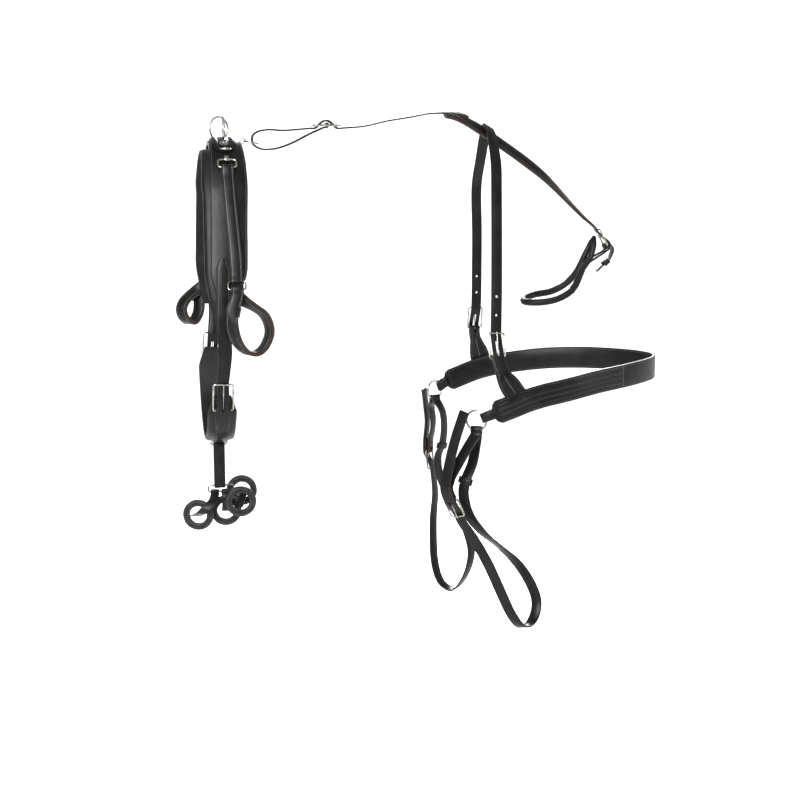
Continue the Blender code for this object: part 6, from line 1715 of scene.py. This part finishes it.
def sew(name, strap_name, start, end, shift, look=THREAD, below=False):
    """A row of stitches along a dressed strap, between two shares of its length, at a shift across it."""
    line = LINES[strap_name]
    reach = reaches(line)
    facing = -1 if below else 1
    shape = bmesh.new()
    at, i = start * reach[-1] + STITCH_GAP, 0
    while at + STITCH_LENGTH < end * reach[-1]:
        spots = []
        for distance in (at, at + STITCH_LENGTH / 2, at + STITCH_LENGTH):
            while i < len(line) - 2 and reach[i + 1] < distance:
                i += 1
            share = (distance - reach[i]) / (reach[i + 1] - reach[i])
            middle, across, out, width, high = line[i]
            level = across * row_shift(shift, width) + out * facing * high / 2
            spots.append((middle.lerp(line[i + 1][0], share) + level, out * facing))
        skin(shape, stitch_rings(spots))
        at += STITCH_LENGTH + STITCH_GAP
    bmesh.ops.recalc_face_normals(shape, faces=shape.faces)
    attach(add_object(name, shape, MATERIALS[look]), body_of_node[strap_name])


def dress_saddle():
    """Stitching along both edges of the skirt, and the wings on the terrets' feet."""
    for row, shift in (("front", "left"), ("rear", "right")):
        sew(f"skirt_stitches_{row}", "saddle_skirt", 0.01, 0.99, shift)
    for name, side in SIDES.items():
        down = TERRET_DOWN + WING_DOWN
        base = OVER.place(side * down, DEE_SHIFT, SEAT_HEIGHT + SEAT_THICK / 2)
        profile = [(WING_LENGTH * along, WING_RADIUS * thick) for along, thick in WING_SHARES]
        wing = spindle(f"{name}_terret_wing", NICKEL, base, TAILWARD, profile)
        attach(wing, "harness")


def sew_both_edges(strap_name, start, end, look=THREAD):
    """Rows of stitches beside both edges of a strap, on both faces."""
    for row in ("left", "right"):
        for face, below in (("outer", False), ("inner", True)):
            name = f"{strap_name}_stitches_{row}_{face}_{round(start * 100)}"
            sew(name, strap_name, start, end, row, look, below)


def dress_straps():
    """Rows of stitching along both edges of sewn straps, and pale stitches painting a highlight down the
    uptugs.
    """
    for strap_name, start, end in SEWN:
        sew_both_edges(strap_name, start, end)
    for strap_name, start, end in PALE_SEWN:
        sew_both_edges(strap_name, start, end, PALE_THREAD_AND_HIGHLIGHT)
    for name in SIDES:
        for face, below in (("outer", False), ("inner", True)):
            # Pale stitches down each uptug's middle paint the highlight along its crease
            sew(f"{name}_uptug_crease_{face}", f"{name}_uptug", *CREASE_HIGHLIGHT_SHARES, 0, PALE_THREAD_AND_HIGHLIGHT, below)


def outward_side(strap_name, middle_of_part):
    """True where a strap's own outer face is turned inward, so that rows go on its other face."""
    line = LINES[strap_name]
    middle, _, out, _, _ = line[len(line) // 3]
    return out.dot(middle - middle_of_part) < 0


def stretch(line, start, end):
    """The part of a strap's line between two shares of its length."""
    reach = reaches(line)
    return [row for row, way in zip(line, reach) if start * reach[-1] <= way <= end * reach[-1]]


def raise_ridge(strap_name, start, end, shift, below):
    """A padded ridge stitched along a strap, between two shares of its length, at a shift across it."""
    rows = stretch(LINES[strap_name], start, end)
    rings = []
    for middle, across, out, _, high in rows:
        way = -out if below else out
        place = middle + across * shift + way * (high / 2)
        ring = [across * (cos(turn) * RIDGE_HALF) + way * (sin(turn) * RIDGE_HIGH) for turn in STITCH_TURNS]
        rings.append([place + spoke for spoke in ring])
    name = f"{strap_name}_ridge_{round(start * 100)}_{round(shift / RIDGE_HALF)}"
    made = solid(name, LEATHER, rings)
    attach(made, body_of_node[strap_name])


def cross_sew(strap_name, share, number, below, look=PALE_THREAD_AND_HIGHLIGHT):
    """A short row of stitches across a strap, where two layers end."""
    middle, across, out, width, high = stretch(LINES[strap_name], share, 1)[0]
    way = -out if below else out
    along = across.cross(out)
    step = STITCH_LENGTH + STITCH_GAP
    count = int((width - 2 * STITCH_IN) / step)
    for i in range(count + 1):
        shift = (i - count / 2) * step
        place = middle + across * shift + way * (high / 2)
        rings = []
        for reach, size in ((-0.5, STITCH_END_SHARE), (0, 1), (0.5, STITCH_END_SHARE)):
            spot = place + across * (reach * STITCH_LENGTH)
            spokes = [along * cos(turn) + way * sin(turn) for turn in STITCH_TURNS]
            rings.append([spot + spoke * (STITCH_HALF * size) for spoke in spokes])
        made = solid(f"{strap_name}_cross_{number}_{i}", look, rings)
        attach(made, body_of_node[strap_name])


def dress_breeching():
    """Stitched ridges along the broad strap, rows along its edges and the ends of its overlays."""
    middle = TAILWARD * (BREECHING_START + BREECHING_REACH / 2) - UPWARD * BREECHING_DROP
    below = outward_side("breeching", middle)
    for start, end in OVERLAY_SHARES:
        for share in RIDGE_SHARES:
            raise_ridge("breeching", start, end, share * BREECHING_HEIGHT, below)
        for number, share in enumerate(ROW_SHARES):
            name = f"breeching_row_{round(start * 100)}_{number}"
            sew(name, "breeching", start, end, share * BREECHING_HEIGHT, THREAD, below)
    start, end = OVERLAY_SHARES[0][0], OVERLAY_SHARES[1][1]
    for edge, share in (("lower", -EDGE_ROW_SHARE), ("upper", EDGE_ROW_SHARE)):
        for face in (below, not below):
            name = f"breeching_{edge}_{'outer' if face == below else 'inner'}"
            sew(name, "breeching", start, end, share * BREECHING_HEIGHT, THREAD, face)
    for number, share in enumerate((OVERLAY_SHARES[0][1], OVERLAY_SHARES[1][0])):
        cross_sew("breeching", share, number, below)


def punch_hip_strap():
    """The round holes above the hip buckles' heels, on both sides."""
    target = bpy.data.objects["hip_strap_dressed"]
    profile = [(-HOLE_REACH, HOLE_RADIUS), (HOLE_REACH, HOLE_RADIUS)]
    for side in (NEAR, FAR):
        route, heel = HIP[side], HIP[side].reach[-1] - UPTUG_REACH
        for step in range(HIP_HOLES):
            distance = heel - HIP_HOLE_START - step * HIP_HOLE_PITCH
            place, _, _, way = route.at(distance)
            punch = spindle("hip_strap_punch", LEATHER, place, way, profile, HOLE_SIDES)
            boolean(target, punch, "DIFFERENCE")


make_panels()
make_tree()
make_skirt_and_seat()
make_terrets()
make_tugs()
make_girth()
make_back_ring()
make_backstrap()
make_crupper()
make_hips()
make_breeching()
make_holdback("near", NEAR, NEAR_RISE_SHARES, NEAR_LOOP_SHARES, NEAR_HEEL_SHARES, NEAR_TIP_SHARES)
make_holdback("far", FAR, FAR_RISE_SHARES, FAR_LOOP_SHARES, FAR_HEEL_SHARES, FAR_TIP_SHARES)
make_rubber_rings(make_drop())
dress_saddle()
dress_straps()
dress_breeching()
punch_hip_strap()


def area_light(name, place, aim, size, power):
    """A soft rectangular light that faces a place."""
    data = bpy.data.lights.new(name, "AREA")
    data.shape = "RECTANGLE"
    data.size, data.size_y = size
    data.energy = power
    made = bpy.data.objects.new(name, data)
    made.location = place
    made.rotation_euler = (aim - place).to_track_quat("-Z", "Y").to_euler()
    bpy.context.scene.collection.objects.link(made)


def add_camera():
    """The camera, at the photograph's angle."""
    azimuth, elevation = radians(VIEW_AZIMUTH), radians(VIEW_ELEVATION)
    back = Vector((sin(azimuth) * cos(elevation), -cos(azimuth) * cos(elevation), sin(elevation)))
    data = bpy.data.cameras.new("camera")
    data.lens = VIEW_LENS
    data.sensor_width = VIEW_SENSOR
    camera = bpy.data.objects.new("camera", data)
    camera.location = VIEW_TARGET + back * VIEW_DISTANCE
    camera.rotation_euler = (-back).to_track_quat("-Z", "Y").to_euler()
    bpy.context.scene.collection.objects.link(camera)
    bpy.context.scene.camera = camera


def add_floor():
    """A pale floor that rises all round."""
    profile = [(WALL_REACH - WALL_BEND, 0)]
    for step in range(1, BEND_STEPS + 1):
        turn = pi / 2 * step / BEND_STEPS
        profile.append((WALL_REACH - WALL_BEND * (1 - sin(turn)), WALL_BEND * (1 - cos(turn))))
    profile.append((WALL_REACH, WALL_HEIGHT))
    turns = [2 * pi * step / WALL_SIDES for step in range(WALL_SIDES)]
    shape = bmesh.new()
    rows = []
    for reach, up in profile:
        ring = [(VIEW_TARGET.x + cos(turn) * reach, sin(turn) * reach, FLOOR_LEVEL + up) for turn in turns]
        rows.append([shape.verts.new(place) for place in ring])
    shape.faces.new(rows[0])
    for row, following in zip(rows, rows[1:]):
        for i in range(WALL_SIDES):
            j = (i + 1) % WALL_SIDES
            shape.faces.new((row[j], row[i], following[i], following[j]))
    paint, _, _ = graph_of("pale_floor", FLOOR_COLOUR, FLOOR_ROUGHNESS)
    add_object("floor", shape, paint)


def add_lights():
    """An even white surround, three soft lights and a broad one overhead."""
    scene = bpy.context.scene
    world = bpy.data.worlds.new("studio")
    world.use_nodes = True
    world.node_tree.nodes["Background"].inputs["Color"].default_value = (1, 1, 1, 1)
    world.node_tree.nodes["Background"].inputs["Strength"].default_value = WORLD_STRENGTH
    scene.world = world
    scene.view_settings.view_transform = "Standard"
    for name, way, size, power in SOFT_LIGHTS:
        area_light(name, VIEW_TARGET + Vector(way), VIEW_TARGET, size, power)
    data = bpy.data.lights.new("overhead", "SUN")
    data.energy = OVERHEAD_STRENGTH
    data.angle = radians(OVERHEAD_ANGLE)
    overhead = bpy.data.objects.new("overhead", data)
    overhead.rotation_euler = Vector(OVERHEAD_WAY).to_track_quat("-Z", "Y").to_euler()
    scene.collection.objects.link(overhead)


add_camera()
add_floor()
add_lights()
